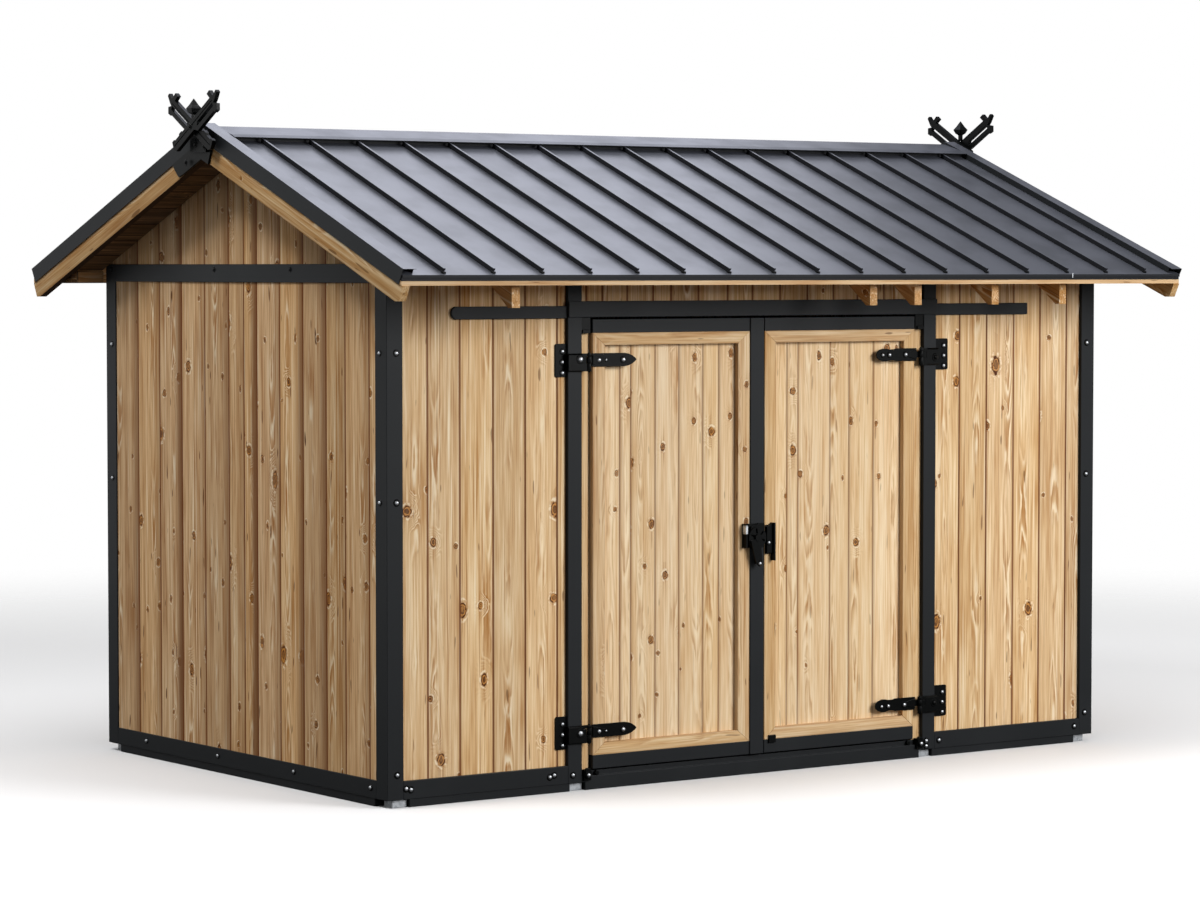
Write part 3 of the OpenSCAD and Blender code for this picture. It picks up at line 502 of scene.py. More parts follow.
    def rings(self, s: WoodShader, knots: Knots) -> Rings:
        """The growth rings: shells round a pith that wanders along the board.

        Args:
            s: the shader.
            knots: the knots, which the rings bend round.

        Returns:
            The rings' masks.
        """
        slow = s.add(Op.NOISE, noise_dimensions="1D", W=s.along, Scale=0.8, Detail=1.0)
        pith = s.add(Op.MULTIPLY, s.add(Op.SUBTRACT, slow, 0.46), self.pith_wander)
        aside = s.chance(s.tone, 7.3, self.pith_aside, -0.5 * self.pith_aside)
        side = s.add(Op.SUBTRACT, s.across, aside)
        ring = s.far(side, s.add(Op.ADD, s.add(Op.ADD, s.deep, self.pith_depth), pith))
        waver = s.add(Op.SUBTRACT, s.fibres(18.0, 2.6, 4.0, 0.5), 0.5)
        ring = s.add(Op.MULTIPLY_ADD, waver, self.waver, ring)
        ring = s.add(Op.MULTIPLY_ADD, knots.swell, s.add(Op.MULTIPLY, knots.radius, 3.4), ring)
        turn = s.add(Op.FRACTION, s.add(Op.DIVIDE, ring, self.ring_pitch))
        late = s.add(Op.MULTIPLY, s.add(Op.STEP, turn, 0.35, 0.85), s.add(Op.STEP, turn, 1.0, 0.9))
        early = s.add(Op.MULTIPLY, s.add(Op.STEP, turn, 0.0, 0.12), s.add(Op.STEP, turn, 0.5, 0.15))
        return Rings(late, early, s.add(Op.ABSOLUTE, side))

    def knots(self, s: WoodShader) -> Knots:
        """One knot to a cell of the board's face, of many sizes, with some cells bare.

        Args:
            s: the shader.

        Returns:
            The knots' masks.
        """
        wide, long = self.knot_cell
        u = s.add(Op.ADD, s.add(Op.DIVIDE, s.across, wide), s.add(Op.MULTIPLY, s.tone, 37.0))
        v = s.add(Op.DIVIDE, s.along, long)
        found = s.add(Op.CELLS, voronoi_dimensions="2D", Vector=s.add(Op.JOIN, u, v), Scale=1.0,
                      Randomness=1.0)
        centre_u, centre_v, _ = s.add(Op.SPLIT, found.outputs["Position"]).outputs
        size, kind, shape = s.add(Op.SPLIT_COLOUR, found.outputs["Color"]).outputs
        off = s.add(Op.MULTIPLY, s.add(Op.SUBTRACT, u, centre_u), wide)
        on = s.add(Op.MULTIPLY, s.add(Op.SUBTRACT, v, centre_v), long)
        on = s.add(Op.MULTIPLY, on, s.add(Op.MULTIPLY_ADD, shape, 0.5, 0.5))
        low, high = self.knot_radius
        radius = s.add(Op.MULTIPLY_ADD, s.add(Op.POWER, size, 1.7), high - low, low)
        wobble = s.add(Op.SUBTRACT, s.add(Op.NOISE, Vector=s.grain, Scale=60.0, Detail=2.0), 0.5)
        shake = s.add(Op.MULTIPLY, wobble, s.add(Op.MULTIPLY, radius, 0.9))
        away = s.add(Op.DIVIDE, s.add(Op.ADD, s.far(off, on), shake), radius)
        drawn = s.add(Op.DIVIDE, s.far(off, s.add(Op.MULTIPLY, on, 0.16)), radius)
        rim, swirl = (s.add(Op.ABSOLUTE, s.add(Op.SUBTRACT, away, place)) for place in (0.95, 1.45))
        steps = ((away, 1.1, 0.84), (rim, 0.26, 0.04), (away, 2.2, 0.9), (away, 4.4, 0.2), (drawn, 1.25, 0.3))
        masks = [s.chance(size, 7.7, 0.7, 0.3), *(s.add(Op.STEP, *step) for step in steps),
                 s.add(Op.MULTIPLY, s.add(Op.STEP, swirl, 0.4, 0.05), 0.7)]
        there = s.add(Op.STEP, kind, 1.0 - self.knot_share, 1.02 - self.knot_share)
        return Knots(away, radius, *(s.add(Op.MULTIPLY, mask, there) for mask in masks))


@dataclass(frozen=True)
class PowderCoatedSteel:
    """Steel section, blasted and powder coated: an even satin black with a faint orange peel.

    The dust on it lies in clouds about 320 mm wide.
    """

    name: str = "powder_coated_steel"
    colour: str = "#1a1c1e"
    dusty: str = "#202224"
    roughness: float = 0.5
    gloss: float = 0.115
    peel: float = 2.6 * MM

    def build(self) -> bpy.types.Material:
        """Wires the finish.

        Returns:
            The material.
        """
        s = Shader(self.name)
        place = s.add(Op.COORDINATES).outputs["Object"]
        cloud = s.add(Op.NOISE, Vector=place, Scale=3.1, Detail=5.0)
        peel = s.add(Op.NOISE, Vector=place, Scale=1 / self.peel, Detail=2.0)
        dust = s.add(Op.MULTIPLY, s.add(Op.STEP, cloud, 0.45, 0.7), 0.4)
        return s.close(Base_Color=s.add(Op.MIX, dust, linear(self.colour), linear(self.dusty)),
                        Roughness=s.add(Op.MULTIPLY_ADD, cloud, 0.18, self.roughness - 0.09),
                        Specular_IOR_Level=self.gloss,
                        Normal=s.add(Op.BUMP, Height=peel, Distance=0.05 * MM, Strength=0.35))


@dataclass(frozen=True)
class CoilCoatedSheet:
    """Roof sheet, coil coated in anthracite: smoother than powder coat, with long rolling waves.

    The waves are about 110 mm wide and 770 mm long, and the dust lies in clouds about 170 mm wide.
    """

    name: str = "coil_coated_sheet"
    colour: str = "#3f4148"
    deep: str = "#33353b"
    roughness: float = 0.32
    gloss: float = 0.5

    def build(self) -> bpy.types.Material:
        """Wires the finish.

        Returns:
            The material.
        """
        s = Shader(self.name)
        place = s.add(Op.COORDINATES).outputs["Object"]
        drawn = s.add(Op.STRETCH, Vector=place, Scale=(9.0, 1.3, 1.3))
        wave = s.add(Op.NOISE, Vector=drawn, Scale=1.0, Detail=2.0)
        dust = s.add(Op.NOISE, Vector=place, Scale=6.0, Detail=6.0)
        settled = s.add(Op.STEP, dust, 0.4, 0.7)
        return s.close(Base_Color=s.add(Op.MIX, settled, linear(self.colour), linear(self.deep)),
                        Roughness=s.add(Op.MULTIPLY_ADD, dust, 0.14, self.roughness - 0.07),
                        Specular_IOR_Level=self.gloss,
                        Normal=s.add(Op.BUMP, Height=wave, Distance=0.9 * MM, Strength=0.5))


@dataclass(frozen=True)
class ZincPlatedSteel:
    """Bright zinc-plated bolts and washers: a pale metal, clouded every 4 mm or so."""

    name: str = "zinc_plated_steel"
    colour: str = "#a3a6aa"
    roughness: float = 0.38

    def build(self) -> bpy.types.Material:
        """Wires the finish.

        Returns:
            The material.
        """
        s = Shader(self.name)
        place = s.add(Op.COORDINATES).outputs["Object"]
        cloud = s.add(Op.NOISE, Vector=place, Scale=240.0, Detail=3.0)
        return s.close(Base_Color=linear(self.colour), Metallic=1.0,
                        Roughness=s.add(Op.MULTIPLY_ADD, cloud, 0.2, self.roughness - 0.1),
                        Normal=s.add(Op.BUMP, Height=cloud, Distance=0.03 * MM, Strength=0.4))


@dataclass(frozen=True)
class GalvanisedSteel:
    """Hot-dip galvanised feet: matte pale grey with spangle about 12 mm wide."""

    name: str = "galvanised_steel"
    colour: str = "#b9bcc0"
    dull: str = "#94989c"
    roughness: float = 0.42
    spangle: float = 12.0 * MM

    def build(self) -> bpy.types.Material:
        """Wires the finish.

        Returns:
            The material.
        """
        s = Shader(self.name)
        place = s.add(Op.COORDINATES).outputs["Object"]
        flakes = s.add(Op.CELLS, Vector=place, Scale=1 / self.spangle)
        grey = s.add(Op.SPLIT_COLOUR, flakes.outputs["Color"]).outputs[0]
        return s.close(Base_Color=s.add(Op.MIX, grey, linear(self.colour), linear(self.dull)),
                        Metallic=0.75, Roughness=s.add(Op.MULTIPLY_ADD, grey, 0.2, self.roughness))


class Finish(Enum):
    """The shed's finishes."""

    # Front and back walls, in clean fresh boards
    WALL = PlanedPine()
    # Gable walls: knottier and browner, with a wide painted shade along one side of each board
    GABLE = PlanedPine(name="planed_pine_gable", pale="#e2c49c", middle="#cba67c", brown="#a0744a",
                       shade_width=75.0 * MM, soft_shade=0.95, spread=0.24, saturation=1.05,
                       knot_share=0.85, lines=0.8, dashes=1.0, value=1.1)
    # Door boards, picked paler and cleaner, with small knots
    LEAF = PlanedPine(name="planed_pine_leaf", pale="#eedbbb", middle="#dfc29a", brown="#c69d6d",
                      knot_share=0.5, knot_radius=(5.0 * MM, 15.0 * MM), knot_cell=(0.12, 0.26),
                      joint_shade=0.45, soft_shade=0.3, spread=0.08, value=1.01, dashes=0.35,
                      lines=0.25, contrast=0.75, flame=0.45)
    # Door frames, jambs and roof edges: clear wood with few knots
    FRAME = PlanedPine(name="planed_pine_frame", pale="#e9cfa8", middle="#d8b588", brown="#bd9060",
                       knot_share=0.2, joint_shade=0.15, soft_shade=0.0, spread=0.08, value=0.9,
                       lines=0.3, flame=0.3)
    # Barge boards: a duller, warmer brown
    TRIM = PlanedPine(name="planed_pine_trim", pale="#dcc09a", middle="#c8a57b", brown="#a98058",
                      knot_share=0.25, joint_shade=0.15, soft_shade=0.0, spread=0.12, value=0.89,
                      saturation=1.1)
    # Rafters, beams and floor straight from the saw: rougher and browner
    ROUGH = PlanedPine(name="sawn_pine", pale="#c9a274", middle="#b48a5b", brown="#94693c",
                       knot_share=0.4, roughness=0.8, joint_shade=0.3)
    # Undersides of the overhangs: sawn boards darkened brown, as painted shade
    SOFFIT = PlanedPine(name="sawn_pine_soffit_painted_shade", pale="#876544", middle="#5d4329", brown="#3a2715",
                        late="#28180b", cream="#9a774f", joint="#2f1d0f", knot_share=0.3,
                        roughness=0.85, joint_shade=0.9, spread=0.4, saturation=1.0)
    # Posts, sills and beams: satin black
    BLACK = PowderCoatedSteel()
    # Hinges, latch and finials: deeper black with a tighter gleam
    IRONWORK = PowderCoatedSteel(name="black_ironwork", colour="#030404", dusty="#0b0c0d",
                                 roughness=0.32, gloss=0.07)
    # The slopes, which mirror the light softly
    ROOF = CoilCoatedSheet()
    # The ridge cap, which gleams less
    CAP = CoilCoatedSheet(name="coil_coated_cap", gloss=0.11)
    # The sides of the seams and the eaves: the sheet's grey made nearly black, as painted shade
    SHADED = PowderCoatedSteel(name="coil_coated_edge_painted_shade", colour="#17181b", dusty="#1d1e22", gloss=0.1)
    # Bolt heads: pale bright metal
    ZINC = ZincPlatedSteel()
    # Feet, and the pale plate on the latch that paints a highlight: matte grey metal
    FEET = GalvanisedSteel()

    def material(self) -> bpy.types.Material:
        """The finish's material, made when it is first asked for."""
        return bpy.data.materials.get(self.value.name) or self.value.build()


# ---------------------------------------------------------------- mesh helpers

# Corners closer than this are one corner, edges flatter than this are no edge, and sharper ones are rounded
WELD = 0.02 * MM
FLAT_ANGLE = math.radians(0.5)
SHARP_ANGLE = math.radians(25)
# A cut takes corners this close to it as lying on it, and a chamfered edge lies this close to its cut
HAIR = 0.001 * MM
TOUCH = 0.05 * MM


def solid_of(node: str) -> bmesh.types.BMesh:
    """A merged copy of a frame node's mesh, with its flat faces whole.

    Args:
        node: the node's name.

    Returns:
        The copy.
    """
    bm = bmesh.new()
    bm.from_mesh(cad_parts[node].data)
    for layer in list(bm.loops.layers.uv):
        bm.loops.layers.uv.remove(layer)
    bmesh.ops.remove_doubles(bm, verts=bm.verts, dist=WELD)
    bmesh.ops.dissolve_limit(bm, angle_limit=FLAT_ANGLE, verts=bm.verts, edges=bm.edges)
    return bm


def keep_side(bm: bmesh.types.BMesh, plane: Plane) -> None:
    """Cuts a closed mesh with a plane, keeps what the normal points to and closes the cut.

    Args:
        bm: the mesh.
        plane: a point and a normal.
    """
    geometry = bm.verts[:] + bm.edges[:] + bm.faces[:]
    cut = bmesh.ops.bisect_plane(bm, geom=geometry, dist=HAIR, plane_co=plane[0], plane_no=plane[1],
                                 clear_inner=True)
    edges = [e for e in cut["geom_cut"] if isinstance(e, bmesh.types.BMEdge) and e.is_boundary]
    if edges:
        bmesh.ops.edgeloop_fill(bm, edges=edges)


def round_edges(bm: bmesh.types.BMesh, width: float, segments: int = 2,
                choose: Callable[[bmesh.types.BMEdge], bool] | None = None) -> None:
    """Rounds the sharp edges of a mesh.

    Args:
        bm: the mesh.
        width: the bevel's width in metres.
        segments: faces across the bevel, of which one makes a chamfer.
        choose: which edges are rounded, or None for every sharp one.
    """
    sharp = [e for e in bm.edges if len(e.link_faces) == 2 and e.calc_face_angle(0.0) > SHARP_ANGLE]
    if choose:
        sharp = [e for e in sharp if choose(e)]
    bmesh.ops.bevel(bm, geom=sharp, offset=width, offset_type="OFFSET", affect="EDGES", segments=segments,
                    profile=0.5, material=-1, clamp_overlap=True)


def block(size: Sequence[float], width: float, segments: int, place: Matrix) -> bmesh.types.BMesh:
    """A block with rounded edges.

    Args:
        size: its size in millimetres.
        width: the bevel's width in metres.
        segments: faces across the bevel.
        place: where it lies and how it is turned.

    Returns:
        The block's mesh.
    """
    bm = bmesh.new()
    bmesh.ops.create_cube(bm, size=1.0)
    bmesh.ops.scale(bm, verts=bm.verts, vec=Vector(size) * MM)
    round_edges(bm, width, segments)
    bmesh.ops.transform(bm, matrix=place, verts=bm.verts)
    return bm


def extent(bm: bmesh.types.BMesh) -> tuple[Vector, Vector]:
    """The lowest and highest corners of a mesh.

    Args:
        bm: the mesh.

    Returns:
        The two corners.
    """
    places = [v.co for v in bm.verts]
    low = Vector([min(p[i] for p in places) for i in range(3)])
    high = Vector([max(p[i] for p in places) for i in range(3)])
    return low, high


def islands_of(bm: bmesh.types.BMesh) -> list[bmesh.types.BMesh]:
    """Splits a mesh into its separate solids.

    Args:
        bm: the mesh, which is left as it is.

    Returns:
        One new mesh for each solid.
    """
    bm.faces.ensure_lookup_table()
    seen: set[int] = set()
    found = []
    for seed in bm.faces:
        if seed.index in seen:
            continue
        stack, members = [seed], []
        seen.add(seed.index)
        while stack:
            face = stack.pop()
            members.append(face)
            for edge in face.edges:
                for other in edge.link_faces:
                    if other.index not in seen:
                        seen.add(other.index)
                        stack.append(other)
        island = bmesh.new()
        verts = {v: island.verts.new(v.co) for face in members for v in face.verts}
        for face in members:
            island.faces.new([verts[v] for v in face.verts])
        found.append(island)
    return found


def even_joints(low: float, high: float, width: float, least: float) -> list[float]:
    """Joints between boards of one width, laid from the low end.

    Args:
        low: the low end in metres.
        high: the high end in metres.
        width: the boards' width in millimetres.
        least: least width of the last board in millimetres.

    Returns:
        The joints' places in millimetres.
    """
    room = (high - low) / MM - least
    return [low / MM + i * width for i in range(1, int(room / width) + 1)]


def faces_down(face: bmesh.types.BMFace) -> int:
    """Picks the second finish for faces that look down."""
    return int(face.normal.z < -0.5)


def faces_aside(face: bmesh.types.BMFace) -> int:
    """Picks the second finish, a darker painted shade, for faces that don't look up."""
    return int(face.normal.z < 0.6)


def faces_along(face: bmesh.types.BMFace) -> int:
    """Picks the second finish for upright faces that look to the front or the back."""
    return int(abs(face.normal.y) > 0.97)


class Body(Enum):
    """The bodies that the pieces ride on."""

    SHED = "shed"
    LEFT_LEAF = "left_leaf"
    RIGHT_LEAF = "right_leaf"


class Slot(Enum):
    """Material slots."""

    TIMBER = "timber"
    FRAME_STEEL = "frame_steel"
    ROOF_STEEL = "roof_steel"
    GALVANISED = "galvanised"


@dataclass(frozen=True)
class Stock:
    """One piece of timber: where its grain runs and how its wood differs from the next.

    Attributes:
        middle: a point on the middle of the piece's face.
        across: direction across the face.
        deep: direction into the wood from the face.
        along: direction of the grain.
        tone: a number from 0 to 1 that picks the piece's colour and knots.
        apart: how far along the grain two pieces of tones 0 and 1 lie from each other.
    """

    middle: Vector
    across: Vector
    deep: Vector
    along: Vector
    tone: float
    apart: float = 60.0

    def mark(self, bm: bmesh.types.BMesh) -> None:
        """Writes the grain's place, the tone and the place across the board on every vertex.

        Args:
            bm: the piece's mesh.
        """
        grain = bm.verts.layers.float_vector.new(GRAIN)
        board = bm.verts.layers.float_vector.new(BOARD)
        sides = [(v.co - self.middle).dot(self.across) for v in bm.verts]
        low, wide = min(sides), max(sides) - min(sides)
        for vert, side in zip(bm.verts, sides):
            place = vert.co - self.middle
            run = place.dot(self.along) + self.tone * self.apart
            vert[grain] = Vector((side, place.dot(self.deep), run))
            vert[board] = Vector((self.tone, (side - low) / wide, wide))


@dataclass(frozen=True)
class Sides:
    """Finishes for some faces of a piece.

    Attributes:
        finishes: the finishes after the piece's own one.
        choose: picks a face's finish: 0 for the piece's own, 1 and up for these.
    """

    finishes: Sequence[Finish]
    choose: Callable[[bmesh.types.BMFace], int]


def show(name: str, bm: bmesh.types.BMesh, materials: Iterable[bpy.types.Material]) -> bpy.types.Object:
    """Puts a mesh into the scene.

    Args:
        name: the object's name.
        bm: its mesh, which is freed.
        materials: its materials.

    Returns:
        The new object.
    """
    mesh = bpy.data.meshes.new(name)
    bm.to_mesh(mesh)
    bm.free()
    for material in materials:
        mesh.materials.append(material)
    shown = bpy.data.objects.new(name, mesh)
    bpy.context.scene.collection.objects.link(shown)
    return shown


def make_piece(name: str, parts: Iterable[bmesh.types.BMesh], finish: Finish, body: Body,
               replaces: Sequence[str] = (), sides: Sides | None = None) -> bpy.types.Object:
    """Joins meshes into one piece of the shed.

    Args:
        name: the piece's name.
        parts: closed meshes in the shed's own frame, which are freed.
        finish: the piece's finish.
        body: the body that it rides on.
        replaces: frame nodes that it stands for.
        sides: faces of the piece that have another finish.

    Returns:
        The new object.
    """
    whole = bmesh.new()
    for part in parts:
        scratch = bpy.data.meshes.new("scratch")
        part.to_mesh(scratch)
        whole.from_mesh(scratch)
        bpy.data.meshes.remove(scratch)
        part.free()
    bmesh.ops.recalc_face_normals(whole, faces=whole.faces)
    if sides:
        for face in whole.faces:
            face.material_index = sides.choose(face)
    finishes = (finish, *(sides.finishes if sides else ()))
    piece = show(name, whole, [each.material() for each in finishes])
    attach(piece, body.value)
    if replaces:
        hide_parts(*replaces)
    LOG.info("%s: %d faces in %s", name, len(piece.data.polygons), finish.value.name)
    return piece


def make_plates(name: str, centres: Iterable[Triple], size: Triple, finish: Finish, body: Body) -> bpy.types.Object:
    """Small plates or blocks of one size, square to the shed, rounded by a fifth of their thickness.

    Args:
        name: the piece's name.
        centres: their middles in millimetres.
        size: their size in millimetres.
        finish: its finish.
        body: the body that it rides on.

    Returns:
        The piece.
    """
    plates = [block(size, min(size) * 0.2 * MM, 2, Matrix.Translation(Vector(centre) * MM))
              for centre in centres]
    return make_piece(name, plates, finish, body)


# ---------------------------------------------------------------- timber


@dataclass
class BoardCladding:
    """A frame node of boards, cut into its single boards with chamfered edges.

    Attributes:
        node: the frame node that the boards stand for.
        step: direction in which the boards follow each other, X or Y.
        joints: the joints between boards, in millimetres in that direction.
        face: direction out of the boards' show face.
        along: direction of the grain.
        finish: the boards' finish.
        body: the body that they ride on.
        gap: width of an open joint.
        chamfer: size of the chamfer on both sides of a joint.
        sides: faces that have another finish.
        past: how far past the node's ends the outer boards are cut, so that nothing is lost there.
    """

    node: str
    step: Vector
    joints: Sequence[float]
    face: Vector
    along: Vector
    finish: Finish = Finish.WALL
    body: Body = Body.SHED
    gap: float = 0.5 * MM
    chamfer: float = 1.8 * MM
    sides: Sides | None = None
    past: float = 1.0

    def build(self, dice: random.Random) -> bpy.types.Object:
        """Cuts, marks and joins the boards.

        Args:
            dice: the source of each board's tone.

        Returns:
            The piece.
        """
        low, high = (corner.dot(self.step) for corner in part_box(self.node))
        ends = [low - self.past, *(joint * MM for joint in sorted(self.joints)), high + self.past]
        source = solid_of(self.node)
        boards = []
        for start, end in zip(ends, ends[1:]):
            cuts = (start + self.gap / 2, end - self.gap / 2)
            board = source.copy()
            keep_side(board, (self.step * cuts[0], self.step))
            keep_side(board, (self.step * cuts[1], -self.step))
            if not board.faces:
                board.free()
                continue
            self.chamfer_joints(board, cuts)
            places = [v.co.dot(self.step) for v in board.verts]
            middle = self.step * ((min(places) + max(places)) / 2)
            middle += self.face * max(v.co.dot(self.face) for v in board.verts)
            Stock(middle, self.step, -self.face, self.along, dice.random()).mark(board)
            boards.append(board)
        source.free()
        return make_piece(self.node + "_planks", boards, self.finish, self.body, [self.node],
                          self.sides)

    def chamfer_joints(self, board: bmesh.types.BMesh, cuts: tuple[float, float]) -> None:
        """Chamfers the long edges at the joints.

        Args:
            board: the board's mesh.
            cuts: the places of the board's two sawn sides.
        """
        def at_joint(edge: bmesh.types.BMEdge) -> bool:
            """Tells whether an edge runs between a sawn side and a broad face.

            Args:
                edge: the edge.

            Returns:
                Whether it does.
            """
            on_cut = any(all(abs(v.co.dot(self.step) - cut) < TOUCH for v in edge.verts) for cut in cuts)
            return on_cut and max(abs(f.normal.dot(self.face)) for f in edge.link_faces) > 0.9

        round_edges(board, self.chamfer, 1, at_joint)


@dataclass
class GrainedTimber:
    """A frame node of separate timbers, each with its grain along its own length.

    Attributes:
        node: the frame node that the timbers stand for.
        along: direction of the grain in a level timber.
        face: direction out of the timbers' show face.
        finish: the timbers' finish.
        body: the body that they ride on.
        round_over: size of the chamfer on every sharp edge.
        pitch: how steeply the timbers fall to the front and the back, in degrees.
        sides: faces that have another finish.
    """

    node: str
    along: Vector
    face: Vector
    finish: Finish = Finish.TRIM
    body: Body = Body.SHED
    round_over: float = 1.5 * MM
    pitch: float = 0.0
    sides: Sides | None = None

    def build(self, dice: random.Random) -> bpy.types.Object:
        """Rounds, marks and joins the timbers.

        Args:
            dice: the source of each timber's tone.

        Returns:
            The piece.
        """
        whole = solid_of(self.node)
        timbers = islands_of(whole)
        whole.free()
        for timber in timbers:
            round_edges(timber, self.round_over, 1)
            low, high = extent(timber)
            middle = (low + high) / 2
            fall = math.radians(self.pitch) * (-1 if middle.y > 0 else 1)
            along = Matrix.Rotation(fall, 3, "X") @ self.along
            Stock(middle, along.cross(self.face), -self.face, along, dice.random()).mark(timber)
        return make_piece(self.node + "_timber", timbers, self.finish, self.body, [self.node],
                          self.sides)


@dataclass
class VergeLining:
    """Boards that line the gable overhangs from below, flush with the barge boards' lower edges.

    Attributes:
        pitch: slope of the roof in degrees.
        eave_run: run from the ridge to the roof boards' lower edge.
        eave_height: height of that edge's underside.
        drop: upright distance from the roof boards' underside to the lining's.
        reach: run from the ridge to the lining's lower end, where an upright board closes the back eave.
        sole: outer run and height of the level board under the back eave.
        board: run of one board.
        thick: thickness of the boards.
        barge: thickness of the barge boards, against which the lining ends.
        clearance: gap at the joints and at both ends.
        chamfer: size of the chamfer on every edge.
    """

    pitch: float
    eave_run: float
    eave_height: float = 2032.0
    drop: float = 75.0
    reach: float = 1169.0
    sole: tuple[float, float] = (1455.0, 2034.0)
    board: float = 167.0
    thick: float = 14.0
    barge: float = 32.0
    clearance: float = 1.5
    chamfer: float = 2.0 * MM

    def build(self, dice: random.Random) -> bpy.types.Object:
        """Lays the boards under all four slopes' ends, and closes the lining at the back eave.

        Args:
            dice: the source of each board's tone.

        Returns:
            The piece.
        """
        slope = math.radians(self.pitch)
        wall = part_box("corner_posts")[1].x / MM + self.clearance
        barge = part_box("barge_boards")[1].x / MM - self.barge - self.clearance
        span = barge - wall
        out, level = self.sole
        sloped = (span, self.board / math.cos(slope) - self.clearance, self.thick)
        closer = (span, self.thick, self.height(self.reach) - level - self.clearance)
        sole = (span, out - self.reach - self.clearance, self.thick)
        boards = []
        for end, side in ((-1, -1), (-1, 1), (1, -1), (1, 1)):
            x = end * (wall + barge) / 2
            turn = Matrix.Rotation(-side * slope, 4, "X")
            for i in range(round(self.reach / self.board)):
                run = (i + 0.5) * self.board
                centre = (x, side * run, self.height(run) + self.thick / 2 / math.cos(slope))
                boards.append(self.lay(sloped, centre, turn, dice.random()))
            if side > 0:
                centre = (x, self.reach - self.thick / 2, level + closer[2] / 2)
                boards.append(self.lay(closer, centre, Matrix(), dice.random()))
                centre = (x, out - sole[1] / 2, level + self.thick / 2)
                boards.append(self.lay(sole, centre, Matrix(), dice.random()))
        # The lining is in the dark soffit finish, as painted shade; its upright boards keep the plain sawn finish
        return make_piece("verge_lining", boards, Finish.SOFFIT, Body.SHED,
                          sides=Sides([Finish.ROUGH], faces_along))

    def height(self, run: float) -> float:
        """Height of the lining's underside at a run from the ridge."""
        return self.eave_height + (self.eave_run - run) * math.tan(math.radians(self.pitch)) - self.drop

    def lay(self, size: Triple, centre: Triple, turn: Matrix, tone: float) -> bmesh.types.BMesh:
        """One board of the lining.

        Args:
            size: its size in millimetres, with the grain along X.
            centre: its middle in millimetres.
            turn: how it is turned.
            tone: its tone.

        Returns:
            The board's mesh.
        """
        place = Vector(centre) * MM
        bm = block(size, self.chamfer, 1, Matrix.Translation(place) @ turn)
        across, deep = (BACK, UP) if size[1] > size[2] else (UP, BACK)
        Stock(place, turn.to_3x3() @ across, deep, RIGHT, tone).mark(bm)
        return bm


@dataclass
class MitredFrame:
    """The timber frame of a door leaf: two stiles and two rails, mitred at the corners.

    Attributes:
        node: the frame node that the timbers stand for.
        body: the body that they ride on.
        stile: width of the upright members.
        rail: width of the level members.
        gap: half the width of a mitre's joint, square to it.
        round_over: size of the chamfer on every sharp edge.
    """

    node: str
    body: Body
    stile: float = 60.0 * MM
    rail: float = 49.0 * MM
    gap: float = 0.3 * MM
    round_over: float = 1.2 * MM

    def build(self, dice: random.Random) -> bpy.types.Object:
        """Cuts the frame along its mitres.

        Args:
            dice: the source of each member's tone.

        Returns:
            The piece.
        """
        low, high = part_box(self.node)
        centre, half = (low + high) / 2, (high - low) / 2
        rail, stile = (RIGHT, UP, self.rail, self.stile), (UP, RIGHT, self.stile, self.rail)
        source = solid_of(self.node)
        members = []
        for side in (-1, 1):
            for along, across, own, other in (rail, stile):
                outer = centre + across * side * half.dot(across)
                member = source.copy()
                for end in (-1, 1):
                    corner = outer + along * end * half.dot(along)
                    normal = (across * side * other - along * end * own).normalized()
                    keep_side(member, (corner + normal * self.gap, normal))
                keep_side(member, (centre, across * side))
                round_edges(member, self.round_over, 1)
                middle = outer - across * side * own / 2
                middle.y = low.y
                Stock(middle, across, BACK, along, dice.random()).mark(member)
                members.append(member)
        source.free()
        return make_piece(self.node + "_mitred", members, Finish.FRAME, self.body, [self.node])


# ---------------------------------------------------------------- steel


@dataclass
class SteelNode:
    """A steel frame node with softly rounded edges in place of the sharp ones.

    Attributes:
        node: the frame node that the piece stands for.
        finish: its finish.
        body: the body that it rides on.
        slot: a material slot; not used.
        radius: the rounding.
        sides: faces that have another finish.
    """

    node: str
    finish: Finish = Finish.BLACK
    body: Body = Body.SHED
    slot: Slot = Slot.FRAME_STEEL
    radius: float = 2.0 * MM
    sides: Sides | None = None

    def build(self) -> bpy.types.Object:
        """Rounds and finishes the node.

        Returns:
            The piece.
        """
        bm = solid_of(self.node)
        self.shape(bm)
        round_edges(bm, self.radius)
        return make_piece(self.node + "_rounded", [bm], self.finish, self.body, [self.node],
                          self.sides)

    def shape(self, bm: bmesh.types.BMesh) -> None:
        """Leaves the node's form as it is."""


@dataclass
class SeamedSheet(SteelNode):
    """A slope of the roof sheet, with its folded seams pressed flatter.

    Attributes:
        pitch: slope of the roof in degrees.
        eave: run and height of the roof boards' lower edge.
        pan: height of the pans above the roof boards' underside.
        stands: height above the pans from which the metal is a seam.
        flatten: how much lower the seams are than the frame's.
    """

    pitch: float = 21.4
    eave: tuple[float, float] = (1498.0 * MM, 2032.0 * MM)
    pan: float = 40.0 * MM
    stands: float = 10.0 * MM
    flatten: float = 6.0 * MM

    def shape(self, bm: bmesh.types.BMesh) -> None:
        """Lowers what stands well above the pans.

        Args:
            bm: the sheet's mesh.
        """
        low, high = extent(bm)
        side = 1 if low.y + high.y > 0 else -1
        slope = math.radians(self.pitch)
        normal = Vector((0, side * math.sin(slope), math.cos(slope)))
        level = normal.dot(Vector((0, side * self.eave[0], self.eave[1]))) + self.pan
        heads = [v for v in bm.verts if v.co.dot(normal) - level > self.stands]
        bmesh.ops.translate(bm, verts=heads, vec=normal * -self.flatten)


@dataclass(frozen=True)
class Bolt:
    """A bolt head: its place on the surface, the way it points and its size against the usual one."""

    place: Vector
    out: Vector = FRONT
    size: float = 1.0


